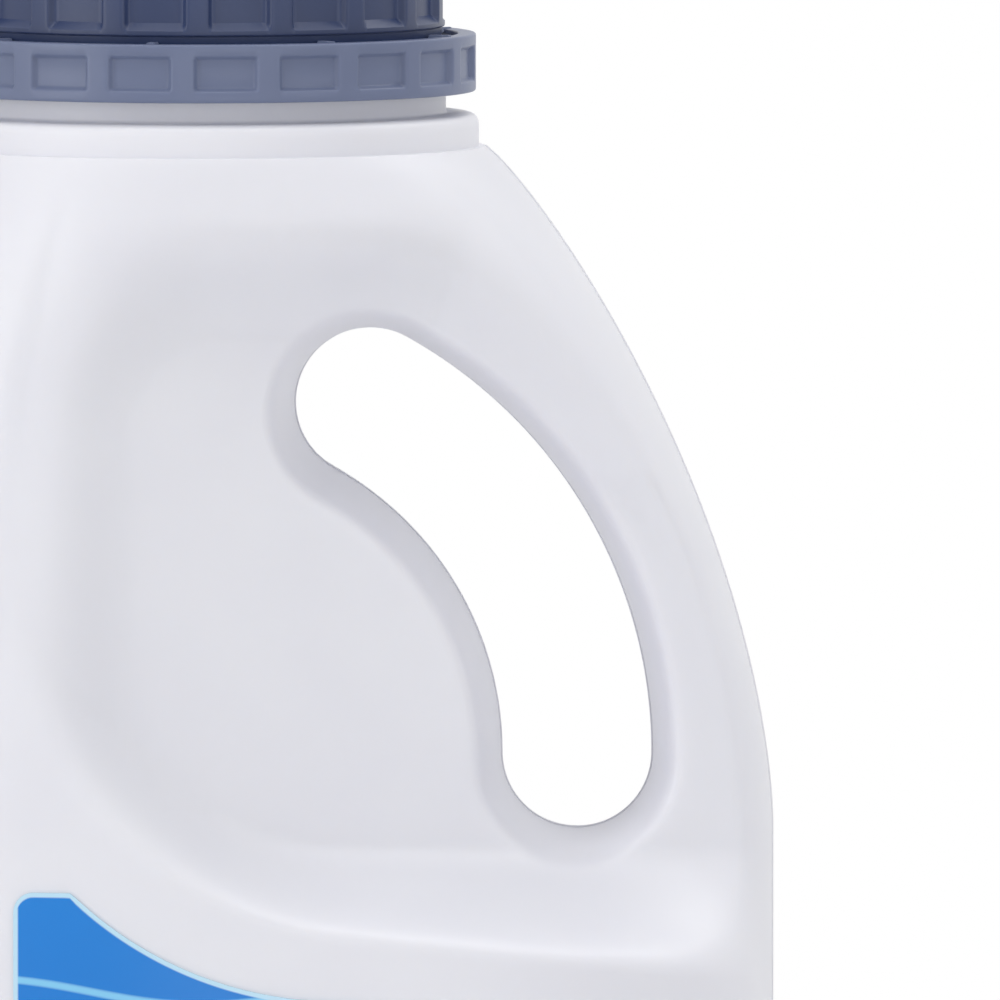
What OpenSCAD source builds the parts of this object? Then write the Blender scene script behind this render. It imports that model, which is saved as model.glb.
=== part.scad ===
// Pool chemical bottle: a blow-moulded jug with a grip hole through a dished side, a ribbed
// screw cap over a foam liner, a tamper band left on the neck, and a wrapped front label.
// Millimetres. +Z is up, the front faces -Y and the handle is on the +X side.

/* [Body] */
// Width of the body, from its plain side to its handle side
body_w = 96.4; // [93:0.2:104]
// Depth of the body, front to back
body_d = 68; // [64:0.5:76]
// Squareness of the body in plan, where 2 is an ellipse
body_squareness = 2.8; // [2.4:0.1:3.4]
// Thickness of the blown wall
wall = 1.4; // [1:0.1:1.8]
// Radius of the rounded edge round the base
base_fillet = 6; // [4:0.5:8]
// Width of the flat ring that the bottle stands on
standing_ring = 4; // [3:0.5:6]
// Height of the push-up inside the standing ring
push_up = 2.5; // [1.5:0.5:4]
// Width of the slope between the standing ring and the push-up
push_up_slope = 5; // [3:0.5:8]

/* [Shoulder] */
// Height at which the sides start to curve in
shoulder_start = 130; // [127:0.5:133]
// Height of the shoulder's top, under the collar
shoulder_top = 198; // [195:0.5:206]
// Radius of the shoulder's top
shoulder_r = 28.5; // [28:0.1:29.5]
// Power of the shoulder's curve at its lower end
shoulder_swell = 1.68; // [1.4:0.02:2]
// Power of the shoulder's curve at its upper end
shoulder_lean = 0.87; // [0.75:0.01:1]
// Distance of the neck's axis from the middle of the body, away from the handle
neck_offset = 9; // [7:0.5:11]

/* [Grip hole] */
// Radius of the hole's curved centreline
grip_r = 40.1; // [38:0.1:42]
// Angle that the centreline turns through
grip_angle = 61; // [54:1:64]
// Width of the hole
grip_w = 15.2; // [13:0.1:16.4]
// Distance of the lower end's centre from the handle side of the body
grip_inset = 19.5; // [18.5:0.1:21]
// Height of the lower end's centre
grip_z = 137.3; // [136:0.1:139]
// Width of the rounding round the hole
grip_round = 3; // [2.4:0.1:5]

/* [Recess] */
// Distance of the recess's far side from the middle of the body
recess_reach = 26; // [24:0.5:29]
// Height of the recess's top edge
recess_top = 190; // [187:0.5:193]
// Height of the recess's lower edge at the handle side
recess_bottom = 117.4; // [114:0.1:120]
// Rise of the lower edge for each millimetre away from the handle side
recess_tilt = 0.11; // [0:0.01:0.2]
// Radius of the upper corner
recess_upper_r = 20; // [14:0.5:24]
// Radius of the lower corner
recess_lower_r = 31; // [24:0.5:36]
// Width of the recess beyond the hole's outer edge
recess_margin = 12.2; // [10:0.1:13]
// Height below which the recess runs out through the handle side
recess_runout = 166; // [160:0.5:172]
// Gain in the recess's width for each millimetre below that height
recess_widening = 0.5; // [0.4:0.05:0.6]
// Width of the sloping wall above and beside the recess
recess_slope = 10.5; // [8:0.5:13]
// Power of the curve that the recess's walls climb in
recess_sweep = 1.6; // [1.4:0.1:2]
// Width of the ledge under the recess at its far side
ledge_far = 5; // [4:0.5:8]
// Width of the ledge under the recess at the handle side
ledge_near = 11; // [8:0.5:13]
// Half the bottle's depth at the recess's far side, level with its top edge
recess_far = 26; // [22:0.5:27]
// Gain in that half depth for each millimetre below the top edge
recess_lean = 0.05; // [0:0.01:0.06]
// Half the bottle's depth at the handle's outer edge
recess_near = 10; // [8.5:0.5:12]
// Softness of the crease where the recess meets the body
recess_crease = 3.5; // [2:0.5:5]
// Width of the rounding along the handle's outer edge
handle_round = 3.5; // [3:0.5:6]

/* [Neck] */
// Step from the shoulder's top in to the collar
collar_step = 0.6; // [0.3:0.1:1]
// Height of the collar
collar_h = 3.3; // [2.5:0.1:4.5]
// Radius of the collar's rounded top edge
collar_round = 1.2; // [0.6:0.1:1.6]
// Radius of the plain land that the tamper band sits round
land_r = 24.6; // [24:0.1:25]
// Height of the retaining bead above the land's surface
bead_proud = 1; // [0.6:0.1:1.2]
// Width of the retaining bead along the neck
bead_w = 1.6; // [1:0.1:1.8]
// Radius of the threaded stem at the root of its thread
stem_r = 21.5; // [20.5:0.1:21.8]
// Wall of the neck
neck_wall = 2; // [1.5:0.1:2.4]
// Height of the mouth above the shoulder
neck_h = 28; // [26:0.5:32]

/* [Tamper band] */
// Outer radius of the band
band_r = 27.6; // [27.4:0.1:28]
// Height of the band
band_h = 5.8; // [5.4:0.1:7]
// Height of the band's lower edge above the collar
band_lift = 2.2; // [1:0.1:3]
// Height of the band's inner snap ring, under the retaining bead
band_snap_h = 3; // [2:0.1:3.2]
// Running gap between the band and the neck
band_play = 0.2; // [0.1:0.05:0.3]
// Number of pockets round the band
band_pockets = 20; // [12:1:30]
// Angle of the first pocket from the handle side
band_turn = 6; // [0:1:17]
// Depth of the pockets round the band
band_pocket = 0.6; // [0.3:0.1:0.8]
// Height of the plain rims above and below the band's pockets
band_rim = 1; // [0.6:0.1:1.4]
// Number of broken bridges on the band's upper edge
bridge_count = 9; // [6:1:18]
// Width of one bridge
bridge_w = 1.2; // [0.8:0.1:1.8]

/* [Cap] */
// Outer radius of the cap over its ribs
cap_r = 24.5; // [24.3:0.1:25.2]
// Gap between the tamper band and the cap's lower edge
cap_gap = 0.7; // [0.6:0.1:1.2]
// Height of the screw thread's ridge, which sets the cap's bore
thread_h = 1; // [0.8:0.1:1.1]
// Radial clearance of the screw thread
thread_play = 0.3; // [0.2:0.05:0.4]
// Thickness of the cap's top
cap_top_t = 1.8; // [1.4:0.1:2.6]
// Radius of the rounded edge of the cap's top
cap_round = 1.6; // [1:0.1:2]
// Number of grip ribs
rib_count = 18; // [12:1:24]
// Width of one grip rib
rib_w = 2; // [1.4:0.1:3]
// Depth of the panels between the ribs
panel_depth = 0.8; // [0.4:0.1:0.9]
// Height of the plain rim under the panels
cap_rim = 0.5; // [0.4:0.1:2]
// Height of the inner lip that reaches down inside the band
lip_h = 1; // [0.6:0.1:1.2]
// Thickness of the inner lip
lip_t = 1.4; // [1:0.1:1.5]
// Thickness of the foam liner
liner_t = 1.2; // [0.8:0.1:2]
// Gap between the liner's edge and the cap's bore
liner_play = 0.3; // [0.2:0.1:0.8]

/* [Label] */
// Width of the label
label_w = 54.4; // [40:0.2:60]
// Height of the label's lower edge
label_bottom = 20; // [12:0.5:40]
// Height of the label's upper edge at its high corner
label_top = 125.5; // [110:0.5:128]
// Radius of the label's corners
label_corner = 2; // [1:0.1:4]
// Distance of the label's falling edge from the recess
label_margin = 7.3; // [6:0.1:10]
// Thickness of the label's film
label_t = 0.2; // [0.1:0.05:0.4]
// Thickness of the glue under the film
label_glue = 0.02; // [0.01:0.01:0.1]

/* [Hidden] */

bottle_color = [0.89, 0.89, 0.91];
cap_color = [0.19, 0.24, 0.37];
band_color = [0.42, 0.45, 0.57];
liner_color = [0.94, 0.94, 0.92];
label_color = [0.16, 0.5, 0.83];

half_w = body_w / 2;
half_d = body_d / 2;
neck_x = -neck_offset;

// The hole's centreline is an arc that starts level with its centre
arc_x = half_w - grip_inset - grip_r;
grip_half = grip_w / 2;
grip_top_x = arc_x + grip_r * cos(grip_angle);
grip_top_z = grip_z + grip_r * sin(grip_angle);

collar_r = shoulder_r - collar_step;
collar_z = shoulder_top + collar_h;
mouth_z = shoulder_top + neck_h;
bore_r = stem_r - neck_wall;
band_z = collar_z + band_lift;
band_top = band_z + band_h;
bead_z = band_z + band_snap_h + band_play;
bead_r = land_r + bead_proud;
cap_z = band_top + cap_gap;
cap_bore_r = stem_r + thread_h + thread_play;
lip_r = cap_bore_r + lip_t;
lip_z = cap_z - lip_h;
cap_top = mouth_z + liner_t + cap_top_t;

// How the shell is divided into points: columns across it and rows up it
far_columns = 28;
near_columns = 11;
largest_far_share = 0.85;
last_column = far_columns + 1 + near_columns;
fillet_steps = 5;
edge_steps = 5;
outer_steps = [11, 18, 8];
inner_steps = [6, 12, 5];
lowest_recess_row = recess_bottom - recess_crease / 2;
highest_ledge = grip_z - grip_half - wall - recess_crease;
PLAIN = 0;
PINCHED = 1;
OPEN = 2;
CLOSED = 3;
$fn = 96;

// Half a chord at the distance d from the centre of a circle
function half_chord(r, d) = sqrt(max(0, r * r - d * d));

// Quarter-round that climbs from 0 to 1 over the width e
function quarter_round(d, e) =
    d >= e ? 1 :
    d <= 0 ? 0 :
    sqrt(1 - pow(1 - d / e, 2));

// Lower of two surfaces with the crease between them softened
function soft_min(a, b, k) =
    k <= 0 ? min(a, b) : min(a, b) - pow(max(0, k - abs(a - b)), 2) / (4 * k);

// Distance inside two edges that meet in a rounded corner
function inside_corner(a, b, r) =
    a < r && b < r ? r - norm([r - a, r - b]) : min(a, b);

// Share of the way from the round shoulder top to the straight body
function fullness(z) =
    z <= shoulder_start ? 1 :
    let (s = min(1, (z - shoulder_start) / (shoulder_top - shoulder_start)))
    pow(1 - pow(s, shoulder_swell), shoulder_lean);

function far_edge(z) =
    neck_x - shoulder_r - (half_w + neck_x - shoulder_r) * fullness(z);

function near_edge(z) =
    neck_x + shoulder_r + (half_w - neck_x - shoulder_r) * fullness(z);

// Half depth of the plain body at x, drawn in by inset
function body_half(x, z, inset) =
    let (far = far_edge(z) + inset,
         near = near_edge(z) - inset,
         n = 2 + (body_squareness - 2) * fullness(z),
         u = abs(2 * x - far - near) / (near - far),
         full = shoulder_r + (half_d - shoulder_r) * fullness(z) - inset)
    u >= 1 ? 0 : full * pow(1 - pow(u, n), 1 / n);

// Height of the line that the recess's lower edge runs along
function recess_low(x) = recess_bottom + recess_tilt * (half_w - x);

// Height of the recess's lower edge, with its rounded corner
function recess_edge(x) =
    let (past_corner = max(0, recess_lower_r - recess_reach - x))
    recess_low(x) + recess_lower_r - half_chord(recess_lower_r, past_corner);

// Share of the recess's walls that is left to climb: 0 on its floor and 1 at its outline
function recess_climb(x, z, across) =
    let (from_far = x + recess_reach,
         widening = recess_widening * max(0, recess_runout - z),
         rim_r = grip_r + grip_half + recess_margin + widening,
         from_rim = rim_r - norm([x - arc_x, z - grip_z]),
         upper = inside_corner(from_far, recess_top - z, recess_upper_r),
         lower = inside_corner(from_far, z - recess_low(x), recess_lower_r),
         ledge = ledge_near + (ledge_far - ledge_near) * min(1, across))
    max(0, 1 - min(upper, from_rim) / recess_slope, 1 - lower / ledge);

// Half depth of the dished recess, which rises to the body at its outline
function recess_half(x, z, inset) =
    let (across = (half_w - x) / (half_w + recess_reach),
         far = recess_far + recess_lean * (recess_top - z),
         base = recess_near + (far - recess_near) * across - inset,
         rise = max(wall, body_half(x, z, inset) - base),
         climb = recess_climb(x, z, across),
         edge = quarter_round(near_edge(z) - inset - x, handle_round))
    (base + rise * pow(climb, recess_sweep)) * edge;

// Distance from the edge of the grip hole
function grip_distance(x, z) =
    let (dx = x - arc_x, dz = z - grip_z, turn = atan2(dz, dx))
    (turn <= 0 ? norm([dx - grip_r, dz]) :
     turn >= grip_angle ? norm([x - grip_top_x, z - grip_top_z]) :
     abs(norm([dx, dz]) - grip_r)) - grip_half;

// Half depth of the whole shell at x and z, drawn in by inset
function shell_half(x, z, inset) =
    let (body = body_half(x, z, inset),
         dish = recess_half(x, z, inset),
         crease = min(recess_crease, body, dish))
    soft_min(body, dish, crease) * quarter_round(grip_distance(x, z) - inset, grip_round);

// The hole's two edges at the height z, with g as half its width
function grip_far(z, g) =
    let (dz = z - grip_z)
    dz <= 0 ? arc_x + grip_r - half_chord(g, dz) :
    dz <= (grip_r - g) * sin(grip_angle) ? arc_x + half_chord(grip_r - g, dz) :
    grip_top_x - half_chord(g, z - grip_top_z);

function grip_near(z, g) =
    let (dz = z - grip_z)
    dz <= 0 ? arc_x + grip_r + half_chord(g, dz) :
    dz <= (grip_r + g) * sin(grip_angle) ? arc_x + half_chord(grip_r + g, dz) :
    grip_top_x + half_chord(g, z - grip_top_z);

// Share of the way along a stretch, with points crowded towards both ends
function eased(i, count) = (1 - cos(180 * i / count)) / 2;

// Rows of the shell as [height, inset, kind, share of the recess's lower edge that the row
// follows], from the middle of the base outwards
function base_rows(inset) =
    let (ring = base_fillet + standing_ring,
         core = ring + push_up_slope,
         bend = base_fillet - inset)
    concat(
        [[push_up + inset, core, CLOSED, 0],
         [push_up + inset, core, PLAIN, 0],
         [inset, ring, PLAIN, 0]],
        [for (i = [0:fillet_steps])
            let (turn = 90 * i / fillet_steps)
            [base_fillet - bend * cos(turn), base_fillet - bend * sin(turn), PLAIN, 0]]);

// Rows of the shell up its side, past the grip hole to the shoulder's top
function side_rows(inset, steps) =
    let (hole_low = grip_z - grip_half - inset,
         hole_high = grip_top_z + grip_half + inset)
    concat(
        [for (i = [0:steps[0] - 1])
            let (share = i / steps[0])
            [lowest_recess_row + (hole_low - lowest_recess_row) * share, inset, PLAIN, 1 - share]],
        [for (i = [0:steps[1]])
            [hole_low + (hole_high - hole_low) * eased(i, steps[1]), inset,
             i == 0 || i == steps[1] ? PINCHED : OPEN, 0]],
        [for (i = [1:steps[2]])
            [hole_high + (shoulder_top - hole_high) * i / steps[2], inset, PLAIN, 0]]);

function reversed(list) = [for (i = [len(list) - 1:-1:0]) list[i]];

// One chain of rows: up the outside, over the top and down the inside
shell_rows = concat(
    base_rows(0), side_rows(0, outer_steps),
    reversed(side_rows(wall, inner_steps)), reversed(base_rows(wall)));
last_row = len(shell_rows) - 1;

// Place across the shell of one column of a row
function column_x(row, column) =
    let (z = row[0],
         inset = row[1],
         far = far_edge(z) + inset,
         near = near_edge(z) - inset,
         hole_x = z < grip_z ? arc_x + grip_r : grip_top_x,
         seam = min(hole_x, far + largest_far_share * (near - far)),
         open = row[2] == OPEN,
         far_end = open ? grip_far(z, grip_half + inset) : seam,
         near_start = open ? grip_near(z, grip_half + inset) : seam)
    column <= far_columns ?
        far + (far_end - far) * eased(column, far_columns) :
        near_start + (near - near_start) * eased(column - far_columns - 1, near_columns);

// Columns where the front and the back of a row meet
function is_edge(kind, column) =
    kind == CLOSED || column == 0 || column == last_column ||
    (kind != PLAIN && (column == far_columns || column == far_columns + 1));

function shell_point(row, column, side) =
    let (x = column_x(row, column),
         z = row[0] + row[3] * (min(recess_edge(x), highest_ledge) - recess_bottom))
    [x, is_edge(row[2], column) ? 0 : side * shell_half(x, z, row[1]), z];

// Number of a point, with one number for points that coincide
function point_number(r, column, back) =
    let (kind = shell_rows[r][2],
         at_end = column == 0 || column == last_column,
         shared_row = kind == CLOSED && at_end ? (r == 0 ? 1 : r - 1) : r,
         merged = kind != OPEN && column == far_columns + 1 ? far_columns : column)
    2 * (shared_row * (last_column + 1) + merged) + (is_edge(kind, merged) ? 0 : back);

function is_triangle(t) = t[0] != t[1] && t[1] != t[2] && t[2] != t[0];

// Two triangles of a four-cornered patch, split along its shorter diagonal
function split_quad(q, points, back) =
    let (rising = norm(points[q[0]] - points[q[2]]) <= norm(points[q[1]] - points[q[3]]),
         halves = rising ?
             [[q[0], q[1], q[2]], [q[0], q[2], q[3]]] :
             [[q[0], q[1], q[3]], [q[1], q[2], q[3]]])
    back == 0 ? halves : [for (half = halves) reversed(half)];

// The blown shell, one closed skin round the outside and the inside
module shell() {
    points = [for (row = shell_rows, column = [0:last_column], side = [-1, 1])
        shell_point(row, column, side)];
    faces = [for (r = [0:last_row - 1], column = [0:last_column - 1], back = [0, 1])
        if (column != far_columns)
            let (low = point_number(r, column, back),
                 high = point_number(r + 1, column, back),
                 high_next = point_number(r + 1, column + 1, back),
                 low_next = point_number(r, column + 1, back))
            each split_quad([low, high, high_next, low_next], points, back)];
    polyhedron(points, [for (face = faces) if (is_triangle(face)) face]);
}

// Collar, land, retaining bead and stem, turned about the neck's axis
module neck() {
    throat_r = land_r - neck_wall;
    translate([neck_x, 0, 0])
        rotate_extrude()
            polygon(concat(
                [[shoulder_r - wall - neck_wall / 3, shoulder_top],
                 [collar_r, shoulder_top]],
                [for (i = [0:edge_steps])
                    let (turn = 90 * i / edge_steps)
                    [collar_r - collar_round * (1 - cos(turn)),
                     collar_z - collar_round * (1 - sin(turn))]],
                [[land_r, collar_z],
                 [land_r, bead_z],
                 [bead_r, bead_z],
                 [bead_r, bead_z + bead_w / 2],
                 [stem_r, bead_z + bead_w],
                 [stem_r, mouth_z],
                 [bore_r, mouth_z],
                 [bore_r, bead_z + bead_w],
                 [throat_r, bead_z - neck_wall / 2],
                 [throat_r, collar_z]]));
}

module bottle() {
    color(bottle_color)
        union() {
            shell();
            neck();
        }
}

// Ring of panels sunk into a wall of the radius r, between two heights
module panels(count, turn, r, depth, low, high) {
    panel_angle = 360 / count - 2 * asin(rib_w / 2 / r);
    for (i = [0:count - 1])
        rotate([0, 0, turn + 360 * i / count - panel_angle / 2])
            rotate_extrude(angle = panel_angle)
                polygon([
                    [r - depth, low + depth / 2],
                    [r + depth, low - depth / 2],
                    [r + depth, high + depth / 2],
                    [r - depth, high - depth / 2]]);
}

// Tamper band: outer panels, an inner snap ring and the stubs of its broken bridges
module tamper_band() {
    upper_r = bead_r + band_play;
    bevel = band_rim / 2;
    stub_h = cap_gap / 2;
    stub_in = lip_r + thread_play;
    color(band_color)
        translate([neck_x, 0, 0])
            union() {
                difference() {
                    rotate_extrude()
                        polygon([
                            [land_r + band_play, band_z],
                            [band_r, band_z],
                            [band_r, band_top - bevel],
                            [band_r - bevel, band_top],
                            [upper_r, band_top],
                            [upper_r, band_z + band_snap_h],
                            [land_r + band_play, band_z + band_snap_h]]);
                    panels(band_pockets, band_turn, band_r, band_pocket,
                           band_z + band_rim, band_top - band_rim);
                }
                for (i = [0:bridge_count - 1])
                    rotate([0, 0, 360 * (i + 0.5) / bridge_count])
                        translate([stub_in, -bridge_w / 2, band_top - stub_h])
                            cube([band_r - bevel * 2 - stub_in, bridge_w, stub_h * 2 - band_play]);
            }
}

// Cap: a skirt with grip ribs between sunk panels, under a plain top, and an inner lip
module cap() {
    color(cap_color)
        translate([neck_x, 0, 0])
            difference() {
                rotate_extrude()
                    polygon(concat(
                        [[0, lip_z], [lip_r, lip_z], [lip_r, cap_z], [cap_r, cap_z]],
                        [for (i = [0:edge_steps])
                            let (turn = 90 * i / edge_steps)
                            [cap_r - cap_round * (1 - cos(turn)),
                             cap_top - cap_round * (1 - sin(turn))]],
                        [[0, cap_top]]));
                translate([0, 0, lip_z - cap_gap])
                    cylinder(h = cap_top - cap_top_t - lip_z + cap_gap, r = cap_bore_r);
                panels(rib_count, 0, cap_r, panel_depth,
                       cap_z + cap_rim, cap_top - cap_round - cap_rim);
            }
}

// Foam disc squeezed between the mouth and the cap's top
module cap_liner() {
    color(liner_color)
        translate([neck_x, 0, mouth_z])
            cylinder(h = liner_t, r = cap_bore_r - liner_play);
}

module rounded_plate(size, r) {
    translate([r, 0])
        square([size[0] - 2 * r, size[1]]);
    translate([0, r])
        square([size[0], size[1] - 2 * r]);
    for (x = [r, size[0] - r], y = [r, size[1] - r])
        translate([x, y])
            circle(r);
}

// Outline of the label: its upper edge falls away in step with the recess
module label_outline() {
    corner_x = recess_lower_r - recess_reach;
    corner_z = recess_low(corner_x) + recess_lower_r;
    difference() {
        translate([-label_w / 2, label_bottom])
            rounded_plate([label_w, label_top - label_bottom], label_corner);
        translate([corner_x, corner_z])
            circle(recess_lower_r + label_margin);
        polygon([
            [corner_x, recess_low(corner_x) - label_margin],
            [half_w, recess_bottom - label_margin],
            [half_w, shoulder_top],
            [corner_x, shoulder_top]]);
    }
}

// Film that follows the body's curve
module front_label() {
    steps = 40;
    places = [for (i = [0:steps]) label_w * (i / steps - 0.5)];
    inner = [for (x = places) [x, -body_half(x, 0, -label_glue)]];
    outer = [for (x = places) [x, -body_half(x, 0, -label_glue - label_t)]];
    color(label_color)
        intersection() {
            translate([0, 0, label_bottom])
                linear_extrude(label_top - label_bottom)
                    polygon(concat(inner, reversed(outer)));
            rotate([90, 0, 0])
                linear_extrude(body_d)
                    label_outline();
        }
}

bottle();
tamper_band();
cap();
cap_liner();
front_label();
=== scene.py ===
"""Pool chemical bottle, dressed for rendering.

A blow-moulded jug with a grip hole through its dished side, a ribbed screw cap over a foam
liner, the tamper band that stays on the neck, and a film label. Sizes are in millimetres in
the object's own frame (+Z up, front towards -Y) and become metres when a mesh is made.
"""

import logging
import math
from dataclasses import dataclass
from enum import Enum
from typing import Any, Optional, Sequence

import bpy
import numpy as np
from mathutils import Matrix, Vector

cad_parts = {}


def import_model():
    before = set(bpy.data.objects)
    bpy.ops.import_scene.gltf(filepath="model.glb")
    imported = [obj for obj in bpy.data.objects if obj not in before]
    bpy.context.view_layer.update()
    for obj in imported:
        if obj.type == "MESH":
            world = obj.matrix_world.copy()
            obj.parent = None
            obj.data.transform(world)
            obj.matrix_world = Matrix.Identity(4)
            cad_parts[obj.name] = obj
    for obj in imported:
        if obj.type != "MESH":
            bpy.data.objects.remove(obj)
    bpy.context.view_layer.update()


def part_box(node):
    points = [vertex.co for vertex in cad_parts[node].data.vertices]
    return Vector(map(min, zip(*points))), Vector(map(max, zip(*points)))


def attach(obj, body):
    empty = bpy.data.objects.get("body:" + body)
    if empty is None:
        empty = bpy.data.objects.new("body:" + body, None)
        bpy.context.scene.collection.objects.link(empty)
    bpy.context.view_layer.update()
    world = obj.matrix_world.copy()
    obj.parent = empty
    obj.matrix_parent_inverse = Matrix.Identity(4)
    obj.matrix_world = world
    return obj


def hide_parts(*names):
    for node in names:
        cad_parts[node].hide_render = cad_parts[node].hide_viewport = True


LOG = logging.getLogger("pool_bottle")
MM = 0.001
TINY = 1e-6
# A rounded corner takes up at most this share of the shorter edge beside it
LARGEST_CORNER_SHARE = 0.48
# Bands that Blender's wave texture draws in one unit at a scale of 1
WAVES_PER_UNIT = 20 / math.tau
Path2D = list[tuple[float, float]]


def linear_rgb(code: str) -> tuple[float, float, float, float]:
    """Turn an sRGB hex colour into linear light.

    Args:
        code: Colour such as "#2A80D4".

    Returns:
        Linear red, green, blue and an alpha of 1.
    """
    channels = [int(code[i : i + 2], 16) / 255 for i in (1, 3, 5)]
    red, green, blue = (c / 12.92 if c <= 0.04045 else ((c + 0.055) / 1.055) ** 2.4 for c in channels)
    return red, green, blue, 1.0


def per_metre(size_mm: float) -> float:
    """Texture scale whose features are about size_mm wide in Object coordinates."""
    return 1 / (size_mm * MM)


def add_node(
    tree: bpy.types.NodeTree,
    kind: str,
    settings: Optional[dict[str, Any]] = None,
    inputs: Optional[dict[Any, Any]] = None,
) -> bpy.types.Node:
    """Add a node with its settings, and fill or link its inputs.

    Args:
        tree: Tree that takes the node.
        kind: Blender's name for the node type.
        settings: Properties of the node itself.
        inputs: Values or output sockets, by input name or index.

    Returns:
        The new node.
    """
    node = tree.nodes.new(kind)
    for name, value in (settings or {}).items():
        setattr(node, name, value)
    for key, value in (inputs or {}).items():
        if isinstance(value, bpy.types.NodeSocket):
            tree.links.new(value, node.inputs[key])
        else:
            node.inputs[key].default_value = value
    return node


def new_material(name: str) -> tuple[bpy.types.Material, bpy.types.NodeTree]:
    """Make an empty node material.

    Args:
        name: Name of the real material.

    Returns:
        The material and its cleared node tree.
    """
    material = bpy.data.materials.new(name)
    material.use_nodes = True
    material.node_tree.nodes.clear()
    return material, material.node_tree


def make_piece(name: str, points_mm: np.ndarray, faces: Sequence[Sequence[int]]) -> bpy.types.Object:
    """Make a mesh object at the origin from points in millimetres.

    Args:
        name: Name of the piece.
        points_mm: One row of x, y, z for each point.
        faces: Point numbers of each face, counter-clockwise from outside.

    Returns:
        The new object, linked into the scene.
    """
    mesh = bpy.data.meshes.new(name)
    mesh.from_pydata((np.asarray(points_mm) * MM).tolist(), [], [list(face) for face in faces])
    piece = bpy.data.objects.new(name, mesh)
    bpy.context.scene.collection.objects.link(piece)
    return piece


def shade(piece: bpy.types.Object, sharp_deg: float) -> None:
    """Shade a piece smooth, with edges sharper than sharp_deg kept crisp."""
    piece.data.shade_smooth()
    piece.data.set_sharp_from_angle(angle=math.radians(sharp_deg))


def eased(count: int, crowding: float = 1.0) -> np.ndarray:
    """Shares from 0 to 1 in count steps, crowded towards both ends."""
    even = np.linspace(0, 1, count + 1)
    return even + crowding * ((1 - np.cos(np.pi * even)) / 2 - even)


def s_curve(share: np.ndarray) -> np.ndarray:
    """Climb from 0 to 1 that is level at both ends."""
    return share * share * (3 - 2 * share)


def rounded_path(corners: Sequence[tuple[float, float, float]], steps: int = 5) -> Path2D:
    """Round the corners of an open path.

    Args:
        corners: Radius from the axis, height and corner radius of each corner.
        steps: Steps in each rounded corner.

    Returns:
        Points of the path, as radius and height.
    """
    points: Path2D = [corners[0][:2]]
    for before, here, after in zip(corners, corners[1:], corners[2:]):
        corner = Vector(here[:2])
        arms = [Vector(before[:2]) - corner, Vector(after[:2]) - corner]
        reach = min([here[2]] + [arm.length * LARGEST_CORNER_SHARE for arm in arms])
        if reach <= 0:
            points.append(here[:2])
            continue
        start, end = (corner + arm.normalized() * reach for arm in arms)
        for step in range(steps + 1):
            u = step / steps
            point = start * (1 - u) ** 2 + corner * 2 * u * (1 - u) + end * u**2
            points.append((point.x, point.y))
    points.append(corners[-1][:2])
    return points


class Band(Enum):
    """Which stretch of the jug a ring of points belongs to."""

    SEAM = "the flat seam across the middle of the base"
    BASE = "the base and its rounded edge"
    STRAIGHT = "the straight body, up to the recess's lower edge"
    UNDER = "from there to the lower end of the grip hole"
    BESIDE = "on either side of the grip hole"
    OVER = "from the upper end of the grip hole to the shoulder's top"
    NECK = "the turned neck"


@dataclass(frozen=True)
class Row:
    """One ring of points on the jug.

    The place is the share of the way up the ring's band, or the height itself on the base and
    the neck. The inset draws the ring in, and the skin is the inset of the wall it belongs to.
    """

    band: Band
    place: float
    inset: float = 0.0
    skin: float = 0.0


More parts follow.
